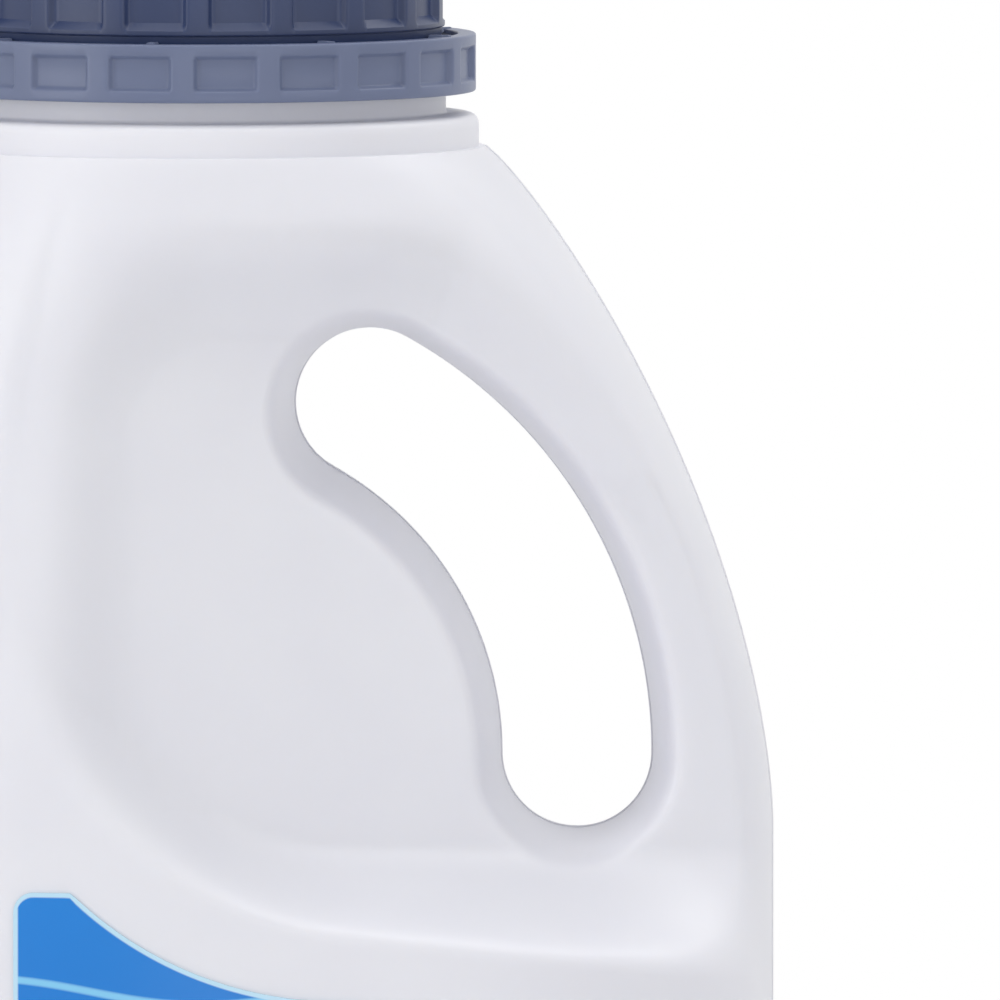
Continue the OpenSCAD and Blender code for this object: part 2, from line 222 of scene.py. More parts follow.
@dataclass(frozen=True)
class BottleForm:
    """The rule for the blown jug's surface, in millimetres."""

    body_w: float
    body_d: float
    body_squareness: float = 2.8
    wall: float = 1.4
    base_fillet: float = 6.0
    standing_ring: float = 4.0
    push_up: float = 2.5
    push_up_slope: float = 5.0
    shoulder_start: float = 130.0
    shoulder_top: float = 198.0
    shoulder_r: float = 28.5
    shoulder_swell: float = 1.68
    shoulder_lean: float = 0.87
    neck_x: float = -9.0
    grip_r: float = 40.1
    grip_angle: float = 61.0
    grip_w: float = 15.2
    grip_inset: float = 19.5
    grip_z: float = 137.3
    grip_round: float = 3.0
    recess_reach: float = 26.0
    recess_top: float = 190.0
    recess_bottom: float = 117.4
    recess_tilt: float = 0.11
    recess_upper_r: float = 20.0
    recess_lower_r: float = 31.0
    recess_margin: float = 12.2
    recess_runout: float = 166.0
    recess_widening: float = 0.5
    recess_slope: float = 10.5
    recess_sweep: float = 1.6
    ledge_far: float = 5.0
    ledge_near: float = 11.0
    recess_far: float = 26.0
    recess_lean: float = 0.05
    recess_near: float = 10.0
    recess_crease: float = 3.5
    handle_round: float = 3.5

    @property
    def half_w(self) -> float:
        """Half the body's width."""
        return self.body_w / 2

    @property
    def arc_x(self) -> float:
        """Place across the body of the centre of the grip hole's curve."""
        return self.half_w - self.grip_inset - self.grip_r

    @property
    def grip_half(self) -> float:
        """Half the grip hole's width."""
        return self.grip_w / 2

    @property
    def grip_end(self) -> tuple[float, float]:
        """Centre of the grip hole's upper end."""
        turn = math.radians(self.grip_angle)
        return self.arc_x + self.grip_r * math.cos(turn), self.grip_z + self.grip_r * math.sin(turn)

    def fullness(self, z: np.ndarray) -> np.ndarray:
        """Share of the way from the round shoulder top to the straight body."""
        share = np.clip((z - self.shoulder_start) / (self.shoulder_top - self.shoulder_start), 0, 1)
        return (1 - share**self.shoulder_swell) ** self.shoulder_lean

    def edges(self, z: np.ndarray, inset: float = 0) -> tuple[np.ndarray, np.ndarray]:
        """Plain side and handle side of the outline at the height z.

        Args:
            z: Heights.
            inset: How far the wall is drawn in.

        Returns:
            The places of the plain side and of the handle side.
        """
        full = self.fullness(z)
        far = self.neck_x - self.shoulder_r - (self.half_w + self.neck_x - self.shoulder_r) * full
        near = self.neck_x + self.shoulder_r + (self.half_w - self.neck_x - self.shoulder_r) * full
        return far + inset, near - inset

    def body_half(self, x: np.ndarray, z: np.ndarray, inset: float = 0) -> np.ndarray:
        """Half depth of the plain body, drawn in by inset.

        Args:
            x: Places across the jug.
            z: Heights.
            inset: How far the wall is drawn in.

        Returns:
            The half depths.
        """
        full = self.fullness(z)
        far, near = self.edges(z, inset)
        power = 2 + (self.body_squareness - 2) * full
        across = np.clip(np.abs(2 * x - far - near) / (near - far), 0, 1)
        depth = self.shoulder_r + (self.body_d / 2 - self.shoulder_r) * full - inset
        return depth * (1 - across**power) ** (1 / power)

    def recess_low(self, x: np.ndarray) -> np.ndarray:
        """Height of the line that the recess's lower edge runs along."""
        return self.recess_bottom + self.recess_tilt * (self.half_w - x)

    def recess_edge(self, x: np.ndarray) -> np.ndarray:
        """Height of the recess's lower edge, with its rounded corner.

        Args:
            x: Places across the jug.

        Returns:
            The heights of the edge.
        """
        past_corner = np.clip(self.recess_lower_r - self.recess_reach - x, 0, self.recess_lower_r)
        drop = np.sqrt(self.recess_lower_r**2 - past_corner**2)
        return self.recess_low(x) + self.recess_lower_r - drop

    def recess_climb(self, x: np.ndarray, z: np.ndarray, across: np.ndarray) -> np.ndarray:
        """Share of the recess's walls left to climb: 0 on its floor and 1 at its outline.

        Args:
            x: Places across the jug.
            z: Heights.
            across: Shares of the way from the handle side to the recess's end.

        Returns:
            The shares of the climb.
        """
        from_far = x + self.recess_reach
        widening = self.recess_widening * np.maximum(0, self.recess_runout - z)
        rim_r = self.grip_r + self.grip_half + self.recess_margin + widening
        from_rim = rim_r - np.hypot(x - self.arc_x, z - self.grip_z)
        upper = inside_corner(from_far, self.recess_top - z, self.recess_upper_r)
        lower = inside_corner(from_far, z - self.recess_low(x), self.recess_lower_r)
        ledge = self.ledge_near + (self.ledge_far - self.ledge_near) * np.minimum(1, across)
        wall = 1 - np.minimum(upper, from_rim) / self.recess_slope
        return np.maximum(0, np.maximum(wall, 1 - lower / ledge))

    def recess_half(self, x: np.ndarray, z: np.ndarray, inset: float) -> np.ndarray:
        """Half depth of the dished recess, which rises to the body at its outline.

        Args:
            x: Places across the jug.
            z: Heights.
            inset: How far the wall is drawn in.

        Returns:
            The half depths.
        """
        across = (self.half_w - x) / (self.half_w + self.recess_reach)
        far = self.recess_far + self.recess_lean * (self.recess_top - z)
        floor = self.recess_near + (far - self.recess_near) * across - inset
        rise = np.maximum(self.wall, self.body_half(x, z, inset) - floor)
        climb = self.recess_climb(x, z, across)
        edge = quarter_round(self.edges(z, inset)[1] - x, self.handle_round)
        return (floor + rise * climb**self.recess_sweep) * edge

    def grip_distance(self, x: np.ndarray, z: np.ndarray) -> np.ndarray:
        """Distance from the edge of the grip hole.

        Args:
            x: Places across the jug.
            z: Heights.

        Returns:
            The distances, negative inside the hole.
        """
        dx, dz = x - self.arc_x, z - self.grip_z
        turn = np.degrees(np.arctan2(dz, dx))
        end_x, end_z = self.grip_end
        along = np.abs(np.hypot(dx, dz) - self.grip_r)
        low_end = np.hypot(dx - self.grip_r, dz)
        high_end = np.hypot(x - end_x, z - end_z)
        past_low_end = np.where(turn >= self.grip_angle, high_end, along)
        return np.where(turn <= 0, low_end, past_low_end) - self.grip_half

    def shell_half(self, x: np.ndarray, z: np.ndarray, inset: float) -> np.ndarray:
        """Half depth of the whole shell at x and z, drawn in by inset.

        Args:
            x: Places across the jug.
            z: Heights.
            inset: How far the wall is drawn in.

        Returns:
            The half depths.
        """
        body = self.body_half(x, z, inset)
        dish = self.recess_half(x, z, inset)
        crease = np.maximum(TINY, np.minimum(self.recess_crease, np.minimum(body, dish)))
        blend = np.maximum(0, crease - np.abs(body - dish)) ** 2 / (4 * crease)
        edge = quarter_round(self.grip_distance(x, z) - inset, self.grip_round)
        return (np.minimum(body, dish) - blend) * edge

    def grip_edges(self, z: float, inset: float) -> tuple[float, float]:
        """The grip hole's two edges at the height z.

        Args:
            z: Height.
            inset: How far the hole is widened.

        Returns:
            The places of the hole's far and near side.
        """
        half = self.grip_half + inset
        dz = z - self.grip_z
        end_x, end_z = self.grip_end
        tall = math.sin(math.radians(self.grip_angle))
        ends = []
        for side in (-1, 1):
            if dz <= 0:
                ends.append(self.arc_x + self.grip_r + side * half_chord(half, dz))
            elif dz <= (self.grip_r + side * half) * tall:
                ends.append(self.arc_x + half_chord(self.grip_r + side * half, dz))
            else:
                ends.append(end_x + side * half_chord(half, z - end_z))
        return ends[0], ends[1]

    def hole_bottom(self, x: np.ndarray, inset: float) -> np.ndarray:
        """Height of the grip hole's lower end, drawn out by inset.

        Args:
            x: Places across the jug.
            inset: How far the hole is widened.

        Returns:
            The heights of the lower end.
        """
        half = self.grip_half + inset
        away = x - self.arc_x - self.grip_r
        return self.grip_z - np.sqrt(np.maximum(0, half**2 - away**2))

    def hole_top(self, x: np.ndarray, inset: float) -> np.ndarray:
        """Height of the grip hole's upper end and outer side, drawn out by inset.

        Args:
            x: Places across the jug.
            inset: How far the hole is widened.

        Returns:
            The heights of the upper end and outer side.
        """
        half = self.grip_half + inset
        outer_r = self.grip_r + half
        end_x, end_z = self.grip_end
        round_end = end_z + np.sqrt(np.maximum(0, half**2 - (x - end_x) ** 2))
        outer_side = self.grip_z + np.sqrt(np.maximum(0, outer_r**2 - (x - self.arc_x) ** 2))
        end_of_side = self.arc_x + outer_r * math.cos(math.radians(self.grip_angle))
        return np.where(x <= end_of_side, round_end, outer_side)


def half_chord(radius: float, distance: float) -> float:
    """Half a chord at a distance from the centre of a circle."""
    return math.sqrt(max(0.0, radius**2 - distance**2))


def quarter_round(distance: np.ndarray, width: float) -> np.ndarray:
    """Quarter-round that climbs from 0 to 1 over a width."""
    return np.sqrt(1 - (1 - np.clip(distance / width, 0, 1)) ** 2)


def inside_corner(a: np.ndarray, b: np.ndarray, radius: float) -> np.ndarray:
    """Distance inside two edges that meet in a rounded corner."""
    rounded = radius - np.hypot(radius - a, radius - b)
    return np.where((a < radius) & (b < radius), rounded, np.minimum(a, b))


@dataclass(frozen=True)
class MouldedPlastic:
    """A moulded plastic with a fine skin texture over slow unevenness.

    The mould's blasted steel leaves a satin grain, and the wall cools unevenly, which bends
    the reflections a little. The real grain is about 0.1 mm wide, and is drawn coarser so that
    it shows.
    """

    name: str
    colour: str
    tint: str
    roughness: float
    grain_mm: float
    grain_depth_mm: float
    swell_mm: float
    swell_depth_mm: float
    grain_detail: float = 3.0
    swell_detail: float = 1.0
    roughness_spread: float = 0.05
    ior: float = 1.5
    glow: float = 0.0
    glow_depth_mm: float = 2.0
    glow_spread: tuple[float, float, float] = (1.0, 0.9, 0.8)

    def material(self) -> bpy.types.Material:
        """Build the node material.

        Returns:
            The finished material.
        """
        material, tree = new_material(self.name)
        place = add_node(tree, "ShaderNodeTexCoord").outputs["Object"]
        slow = add_node(
            tree,
            "ShaderNodeTexNoise",
            inputs={"Vector": place, "Scale": per_metre(self.swell_mm), "Detail": self.swell_detail},
        ).outputs["Fac"]
        grain = add_node(
            tree,
            "ShaderNodeTexNoise",
            inputs={"Vector": place, "Scale": per_metre(self.grain_mm), "Detail": self.grain_detail},
        ).outputs["Fac"]
        swell_bump = add_node(
            tree,
            "ShaderNodeBump",
            inputs={"Strength": 1.0, "Distance": self.swell_depth_mm * MM, "Height": slow},
        ).outputs["Normal"]
        normal = add_node(
            tree,
            "ShaderNodeBump",
            inputs={
                "Strength": 1.0,
                "Distance": self.grain_depth_mm * MM,
                "Height": grain,
                "Normal": swell_bump,
            },
        ).outputs["Normal"]
        colour = add_node(
            tree,
            "ShaderNodeMix",
            {"data_type": "RGBA"},
            {0: slow, 6: linear_rgb(self.colour), 7: linear_rgb(self.tint)},
        ).outputs[2]
        gloss = add_node(
            tree,
            "ShaderNodeMapRange",
            inputs={
                "Value": grain,
                "To Min": self.roughness - self.roughness_spread,
                "To Max": self.roughness + self.roughness_spread,
            },
        ).outputs["Result"]
        shader = add_node(
            tree,
            "ShaderNodeBsdfPrincipled",
            inputs={
                "Base Color": colour,
                "Roughness": gloss,
                "IOR": self.ior,
                "Normal": normal,
                "Subsurface Weight": self.glow,
                "Subsurface Radius": self.glow_spread,
                "Subsurface Scale": self.glow_depth_mm * MM,
            },
        )
        add_node(tree, "ShaderNodeOutputMaterial", inputs={"Surface": shader.outputs["BSDF"]})
        return material


@dataclass(frozen=True)
class LabelFilm:
    """Gloss polypropylene film, reverse-printed with ripples of pale blue on blue."""

    name: str = "printed polypropylene film"
    upper_blue: str = "#057FD8"
    lower_blue: str = "#0A4FA6"
    ripple: str = "#86CCF2"
    border: str = "#BFE2F6"
    panel: str = "#F2F6FA"
    roughness: float = 0.26
    ior: float = 1.5
    ripple_mm: float = 11.0
    ripple_line: float = 0.985
    ripple_sway: float = 5.0
    ripple_detail: float = 1.0
    ripple_slowness: float = 0.6
    border_mm: float = 0.45
    print_blur_mm: float = 0.08
    panel_middle_mm: tuple[float, float] = (0.0, 62.0)
    panel_half_mm: tuple[float, float] = (19.0, 20.0)
    panel_corner_mm: float = 5.0

    def panel_share(self, tree: bpy.types.NodeTree, flat: bpy.types.NodeSocket) -> bpy.types.NodeSocket:
        """Mask of the blank rounded panel.

        Args:
            tree: Tree of the film's material.
            flat: Place on the label, across and up.

        Returns:
            Socket that is 1 on the panel and 0 off it.
        """
        middle = (self.panel_middle_mm[0] * MM, self.panel_middle_mm[1] * MM, 0.0)
        reach = [(half - self.panel_corner_mm) * MM for half in self.panel_half_mm]
        steps = (
            ("SUBTRACT", middle),
            ("ABSOLUTE", None),
            ("SUBTRACT", (*reach, 0.0)),
            ("MAXIMUM", (0.0, 0.0, 0.0)),
        )
        spot = flat
        for operation, value in steps:
            inputs = {0: spot} if value is None else {0: spot, 1: value}
            step = add_node(tree, "ShaderNodeVectorMath", {"operation": operation}, inputs)
            spot = step.outputs["Vector"]
        away = add_node(
            tree,
            "ShaderNodeVectorMath",
            {"operation": "LENGTH"},
            {0: spot},
        ).outputs["Value"]
        corner = self.panel_corner_mm * MM
        return add_node(
            tree,
            "ShaderNodeMapRange",
            inputs={
                "Value": away,
                "From Min": corner - self.print_blur_mm * MM,
                "From Max": corner + self.print_blur_mm * MM,
                "To Min": 1.0,
                "To Max": 0.0,
            },
        ).outputs["Result"]

    def material(self, low_mm: float, high_mm: float) -> bpy.types.Material:
        """Build the node material.

        Args:
            low_mm: Height of the label's lower edge.
            high_mm: Height of its upper edge.

        Returns:
            The finished material.
        """
        material, tree = new_material(self.name)
        place = add_node(tree, "ShaderNodeTexCoord").outputs["Object"]
        axes = add_node(tree, "ShaderNodeSeparateXYZ", inputs={"Vector": place}).outputs
        climb = add_node(
            tree,
            "ShaderNodeMapRange",
            inputs={"Value": axes["Z"], "From Min": low_mm * MM, "From Max": high_mm * MM},
        ).outputs["Result"]
        ground = add_node(
            tree,
            "ShaderNodeMix",
            {"data_type": "RGBA"},
            {0: climb, 6: linear_rgb(self.lower_blue), 7: linear_rgb(self.upper_blue)},
        ).outputs[2]
        flat = add_node(
            tree,
            "ShaderNodeCombineXYZ",
            inputs={"X": axes["X"], "Y": axes["Z"]},
        ).outputs["Vector"]
        wave = add_node(
            tree,
            "ShaderNodeTexWave",
            {"bands_direction": "Y"},
            {
                "Vector": flat,
                "Scale": per_metre(self.ripple_mm) / WAVES_PER_UNIT,
                "Distortion": self.ripple_sway,
                "Detail": self.ripple_detail,
                "Detail Scale": self.ripple_slowness,
            },
        ).outputs["Fac"]
        line = add_node(
            tree,
            "ShaderNodeMapRange",
            {"interpolation_type": "SMOOTHSTEP"},
            {"Value": wave, "From Min": self.ripple_line, "From Max": 1.0},
        ).outputs["Result"]
        rippled = add_node(
            tree,
            "ShaderNodeMix",
            {"data_type": "RGBA"},
            {0: line, 6: ground, 7: linear_rgb(self.ripple)},
        ).outputs[2]
        blank = add_node(
            tree,
            "ShaderNodeMix",
            {"data_type": "RGBA"},
            {0: self.panel_share(tree, flat), 6: rippled, 7: linear_rgb(self.panel)},
        ).outputs[2]
        edge = add_node(tree, "ShaderNodeAttribute", {"attribute_name": "edge_mm"}).outputs["Fac"]
        inner = add_node(
            tree,
            "ShaderNodeMapRange",
            inputs={
                "Value": edge,
                "From Min": self.border_mm - self.print_blur_mm,
                "From Max": self.border_mm + self.print_blur_mm,
            },
        ).outputs["Result"]
        printed = add_node(
            tree,
            "ShaderNodeMix",
            {"data_type": "RGBA"},
            {0: inner, 6: linear_rgb(self.border), 7: blank},
        ).outputs[2]
        shader = add_node(
            tree,
            "ShaderNodeBsdfPrincipled",
            inputs={"Base Color": printed, "Roughness": self.roughness, "IOR": self.ior},
        )
        add_node(tree, "ShaderNodeOutputMaterial", inputs={"Surface": shader.outputs["BSDF"]})
        return material


# Blow-moulded high-density polyethylene: white, satin, and a little translucent
BOTTLE_PLASTIC = MouldedPlastic(
    name="blow-moulded polyethylene",
    colour="#ECECF2",
    tint="#E5E5ED",
    roughness=0.4,
    grain_mm=0.5,
    grain_depth_mm=0.004,
    swell_mm=14.0,
    swell_depth_mm=0.12,
    ior=1.51,
    glow=0.25,
    glow_depth_mm=2.5,
)
# Injection-moulded polypropylene: dark blue, satin, with a crisp fine grain
CAP_PLASTIC = MouldedPlastic(
    name="moulded blue polypropylene",
    colour="#303F66",
    tint="#2A385D",
    roughness=0.36,
    grain_mm=0.35,
    grain_depth_mm=0.004,
    swell_mm=6.0,
    swell_depth_mm=0.02,
    ior=1.49,
)
# The band's thin wall lets more light through, so the same blue reads paler
BAND_PLASTIC = MouldedPlastic(
    name="thin blue polypropylene",
    colour="#6C7693",
    tint="#646E8C",
    roughness=0.38,
    grain_mm=0.35,
    grain_depth_mm=0.004,
    swell_mm=6.0,
    swell_depth_mm=0.02,
    ior=1.49,
    glow=0.2,
    glow_depth_mm=1.0,
)
# Closed-cell polyethylene foam: matt and finely pitted
LINER_FOAM = MouldedPlastic(
    name="closed-cell polyethylene foam",
    colour="#F0F0EC",
    tint="#E8E8E4",
    roughness=0.8,
    grain_mm=0.4,
    grain_depth_mm=0.05,
    swell_mm=5.0,
    swell_depth_mm=0.05,
)


@dataclass(frozen=True)
class NeckForm:
    """The turned finish of the neck, in millimetres about the neck's axis."""

    mouth_z: float
    collar_step: float = 0.6
    collar_h: float = 3.3
    collar_round: float = 1.2
    land_r: float = 24.6
    bead_proud: float = 1.0
    bead_w: float = 1.6
    bead_lift: float = 5.4
    stem_r: float = 21.5
    wall: float = 2.0
    foot_round: float = 0.15
    land_round: float = 0.4
    bead_round: float = 0.2
    lip_round: float = 0.5
    throat_round: float = 1.5

    def profile(self, form: BottleForm) -> Path2D:
        """Path from the shoulder up the outside, over the mouth and down the bore.

        Args:
            form: The blown body under the neck.

        Returns:
            Points of the path, as radius and height.
        """
        low = form.shoulder_top
        collar_r = form.shoulder_r - self.collar_step
        collar_z = low + self.collar_h
        bead_z = collar_z + self.bead_lift
        bead_r = self.land_r + self.bead_proud
        bore_r = self.stem_r - self.wall
        throat_r = self.land_r - self.wall
        corners = [
            (form.shoulder_r, low, 0.0),
            (collar_r, low, self.foot_round),
            (collar_r, collar_z, self.collar_round),
            (self.land_r, collar_z, self.land_round),
            (self.land_r, bead_z, self.bead_round),
            (bead_r, bead_z, self.bead_round),
            (bead_r, bead_z + self.bead_w / 2, self.bead_round),
            (self.stem_r, bead_z + self.bead_w, self.land_round),
            (self.stem_r, self.mouth_z, self.lip_round),
            (bore_r, self.mouth_z, self.lip_round),
            (bore_r, bead_z + self.bead_w, self.throat_round),
            (throat_r, bead_z - self.wall / 2, self.throat_round),
            (throat_r, collar_z, self.throat_round),
            (form.shoulder_r - form.wall - self.wall / 3, low, self.foot_round),
            (form.shoulder_r - form.wall, low, 0.0),
        ]
        return rounded_path(corners)[1:-1]


@dataclass(frozen=True)
class RowCounts:
    """How many rings each band of one wall is divided into."""

    straight: int
    under: int
    beside: int
    over: int


@dataclass
class Bottle:
    """The blown jug: one closed skin round the outside and the inside.

    Rings of points run round the jug. They part at join_deg round the lower end of the grip
    hole and close again at the same angle round its upper end.
    """

    form: BottleForm
    neck: NeckForm
    far_columns: int = 86
    hole_columns: int = 22
    near_columns: int = 32
    push_up_steps: int = 6
    fillet_steps: int = 9
    outer_rows: RowCounts = RowCounts(straight=10, under=38, beside=78, over=32)
    inner_rows: RowCounts = RowCounts(straight=6, under=10, beside=22, over=9)
    join_deg: float = 55.0
    ledge_drop: float = 4.0
    sharp_deg: float = 40.0

    @property
    def width(self) -> int:
        """Number of columns in a ring's front or back."""
        return self.far_columns + self.hole_columns + self.near_columns + 1

    @property
    def stop_columns(self) -> tuple[int, int]:
        """Columns that run along the two sides of the grip hole."""
        return self.far_columns, self.far_columns + self.hole_columns

    def join_heights(self, skin: float) -> tuple[float, float]:
        """Heights at which the rings part under the grip hole and close over it."""
        drop = (self.form.grip_half + skin) * math.cos(math.radians(self.join_deg))
        return self.form.grip_z - drop, self.form.grip_end[1] + drop

    def base_rows(self, skin: float) -> list[Row]:
        """Rows from the middle of the base to the top of its rounded edge.

        Args:
            skin: Inset of the wall that the rows belong to.

        Returns:
            The rows in order.
        """
        form = self.form
        ring = form.base_fillet + form.standing_ring
        core = ring + form.push_up_slope
        rows = [Row(Band.SEAM, form.push_up + skin, core, skin)]
        for share in eased(self.push_up_steps):
            drop = form.push_up * (1 - math.cos(math.pi * share)) / 2
            height = form.push_up - drop + skin
            rows.append(Row(Band.BASE, height, core - form.push_up_slope * share, skin))
        bend = form.base_fillet - skin
        for turn in np.linspace(0, math.pi / 2, self.fillet_steps + 1):
            height = form.base_fillet - bend * math.cos(turn)
            rows.append(Row(Band.BASE, height, form.base_fillet - bend * math.sin(turn), skin))
        return rows

    def side_rows(self, skin: float, counts: RowCounts) -> list[Row]:
        """Rows up the side, past the grip hole to the shoulder's top, crowded at the hole's ends.

        Args:
            skin: Inset of the wall that the rows belong to.
            counts: Rings in each band.

        Returns:
            The rows in order.
        """
        quarter = math.pi / 2
        places = {
            Band.STRAIGHT: np.linspace(0, 1, counts.straight + 1)[1:-1],
            Band.UNDER: np.sin(np.linspace(0, quarter, counts.under + 1)),
            Band.BESIDE: np.linspace(0, 1, counts.beside + 1)[1:-1],
            Band.OVER: 1 - np.cos(np.linspace(0, quarter, counts.over + 1)),
        }
        return [
            Row(band, float(place), skin, skin)
            for band, shares in places.items()
            for place in shares
        ]

    def band_limits(self, row: Row, x: np.ndarray) -> tuple[np.ndarray, np.ndarray]:
        """Lower and upper limit of a row's band at the places x across the jug.

        Args:
            row: Row in the band.
            x: Places across the jug.

        Returns:
            The lower and the upper heights.
        """
        form = self.form
        low_join, high_join = self.join_heights(row.skin)
        highest_ledge = low_join - self.ledge_drop
        ledge = np.minimum(form.recess_edge(x), highest_ledge) - form.recess_crease / 2
        level = np.ones_like(x)
        if row.band is Band.STRAIGHT:
            return level * form.base_fillet, ledge
        if row.band is Band.UNDER:
            return ledge, np.minimum(low_join, form.hole_bottom(x, row.skin))
        if row.band is Band.BESIDE:
            return level * low_join, level * high_join
        return np.maximum(high_join, form.hole_top(x, row.skin)), level * form.shoulder_top

    def heights(self, row: Row, x: np.ndarray) -> np.ndarray:
        """Heights of a row's points at the places x across the jug.

        Args:
            row: Row of the jug's blown part.
            x: Places across the jug.

        Returns:
            The heights.
        """
        if row.band in (Band.SEAM, Band.BASE):
            return np.full_like(x, row.place)
        low, high = self.band_limits(row, x)
        return low + (high - low) * row.place

    def columns(self, row: Row) -> np.ndarray:
        """Places across the jug of a row's columns.

        Args:
            row: Row of the jug's blown part.

        Returns:
            The places, from the plain side to the handle side.
        """
        form = self.form
        ends = self.heights(row, np.array(form.edges(np.float64(0), row.inset)))
        far = form.edges(ends[0], row.inset)[0]
        near = form.edges(ends[1], row.inset)[1]
        if row.band is Band.BESIDE:
            stops = form.grip_edges(float(ends[0]), row.skin)
        else:
            level = self.join_heights(row.skin)[row.band is Band.OVER]
            level_far, level_near = form.edges(np.float64(level), row.skin)
            spread = (near - far) / (level_near - level_far)
            stops = tuple(far + (stop - level_far) * spread for stop in form.grip_edges(level, row.skin))
        return np.concatenate(
            [
                far + (stops[0] - far) * eased(self.far_columns),
                np.linspace(stops[0], stops[1], self.hole_columns + 1)[1:-1],
                stops[1] + (near - stops[1]) * eased(self.near_columns),
            ]
        )

    def meeting(self, row: Row) -> np.ndarray:
        """Which columns of a row have their front and back at one point.

        Args:
            row: Any row.

        Returns:
            True for each such column.
        """
        meet = np.full(self.width, row.band is Band.SEAM)
        meet[[0, -1]] = True
        joins = (Band.UNDER, 1.0), (Band.OVER, 0.0)
        if row.band is Band.BESIDE or (row.band, row.place) in joins:
            first, last = self.stop_columns
            meet[first : last + 1] = True
        return meet

    def ring(self, row: Row) -> np.ndarray:
        """Front and back points of one blown row, as columns by side by place.

        Args:
            row: Row of the jug's blown part.

        Returns:
            The points, by column, side and axis.
        """
        x = self.columns(row)
        z = self.heights(row, x)
        half = np.where(self.meeting(row), 0, self.form.shell_half(x, z, row.inset))
        return np.stack([np.stack([x, side * half, z], axis=1) for side in (-1, 1)], axis=1)

    def neck_ring(self, radius: float, z: float, lanes: np.ndarray) -> np.ndarray:
        """Front and back points of one turned row of the neck.

        Args:
            radius: Radius about the neck's axis.
            z: Height.
            lanes: Places across the neck, as shares of the radius.

        Returns:
            The points, by column, side and axis.
        """
        x = self.form.neck_x + radius * lanes
        half = radius * np.sqrt(np.maximum(0, 1 - lanes**2))
        level = np.full_like(x, z)
        return np.stack([np.stack([x, side * half, level], axis=1) for side in (-1, 1)], axis=1)

    def numbers(self, rows: Sequence[Row]) -> np.ndarray:
        """Point numbers by row, column and side, with one number for points that coincide.

        Args:
            rows: All rows in order.

        Returns:
            The table of numbers.
        """
        table = np.arange(len(rows) * self.width * 2).reshape(len(rows), self.width, 2)
        first, last = self.stop_columns
        for r, row in enumerate(rows):
            if row.band is Band.BESIDE:
                table[r, first + 1 : last] = table[r, first]
            meet = self.meeting(row)
            table[r, meet, 1] = table[r, meet, 0]
        table[0, [0, -1]] = table[1, [0, -1]]
        table[-1, [0, -1]] = table[-2, [0, -1]]
        return table

    def faces(self, rows: Sequence[Row], table: np.ndarray) -> list[list[int]]:
        """Faces between neighbouring rows, with the grip hole left open.

        Args:
            rows: All rows in order.
            table: Point numbers by row, column and side.

        Returns:
            The point numbers of each face.
        """
        found = []
        first, last = self.stop_columns
        for r, (low, high) in enumerate(zip(table, table[1:])):
            parted = Band.BESIDE in (rows[r].band, rows[r + 1].band)
            for c in range(self.width - 1):
                if parted and first <= c < last:
                    continue
                for side in (0, 1):
                    loop = [low[c, side], low[c + 1, side], high[c + 1, side], high[c, side]]
                    if side:
                        loop.reverse()
                    loop = list(dict.fromkeys(int(n) for n in loop))
                    if len(loop) > 2:
                        found.append(loop)
        return found

    def build(self) -> bpy.types.Object:
        """Build the jug's mesh.

        Returns:
            The jug, from its base to its mouth and back down inside.
        """
        wall = self.form.wall
        outside = self.base_rows(0) + self.side_rows(0, self.outer_rows)
        inside = self.base_rows(wall) + self.side_rows(wall, self.inner_rows)
        inside.reverse()
        lanes = (self.columns(outside[-1]) - self.form.neck_x) / self.form.shoulder_r
        profile = self.neck.profile(self.form)
        turned = [self.neck_ring(radius, z, np.clip(lanes, -1, 1)) for radius, z in profile]
        rings = [self.ring(row) for row in outside] + turned + [self.ring(row) for row in inside]
        rows = outside + [Row(Band.NECK, z) for radius, z in profile] + inside
        points = np.concatenate([ring.reshape(-1, 3) for ring in rings])
        table = self.numbers(rows)
        used, packed = np.unique(table, return_inverse=True)
        piece = make_piece("jug_shell", points[used], self.faces(rows, packed.reshape(table.shape)))
        shade(piece, self.sharp_deg)
        return piece


@dataclass(frozen=True)
class ScrewThread:
    """A helical ridge with tapered run-outs, in millimetres."""

    root_r: float
    crest_r: float
    root_w: float
    crest_w: float
    lead: float
    turns: float
    start_z: float
    axis_x: float
    runout_deg: float = 30.0
    least_height: float = 0.02
    steps_per_turn: int = 72
    sharp_deg: float = 35.0

    def build(self, name: str) -> bpy.types.Object:
        """Sweep the ridge.

        Args:
            name: Name of the piece.

        Returns:
            The closed ridge.
        """
        count = round(self.turns * self.steps_per_turn)
        points = []
        for i in range(count + 1):
            turn = self.turns * 360 * i / count
            ends = min(turn, self.turns * 360 - turn)
            height = max(self.least_height, min(1.0, ends / self.runout_deg))
            crest = self.root_r + (self.crest_r - self.root_r) * height
            middle = self.start_z + self.lead * turn / 360
            angle = math.radians(turn)
            for radius, offset in (
                (self.root_r, -self.root_w / 2),
                (crest, -self.crest_w / 2),
                (crest, self.crest_w / 2),
                (self.root_r, self.root_w / 2),
            ):
                points.append(
                    (self.axis_x + radius * math.cos(angle), radius * math.sin(angle), middle + offset)
                )
        outward = self.crest_r > self.root_r
        faces = []
        for i in range(count):
            for j in range(4):
                here, beside = 4 * i + j, 4 * i + (j + 1) % 4
                loop = [here, here + 4, beside + 4, beside]
                faces.append(loop if outward else loop[::-1])
        last = 4 * count
        ends_faces = [[0, 1, 2, 3], [last + 3, last + 2, last + 1, last]]
        faces += ends_faces if outward else [loop[::-1] for loop in ends_faces]
        piece = make_piece(name, np.array(points), faces)
        shade(piece, self.sharp_deg)
        return piece


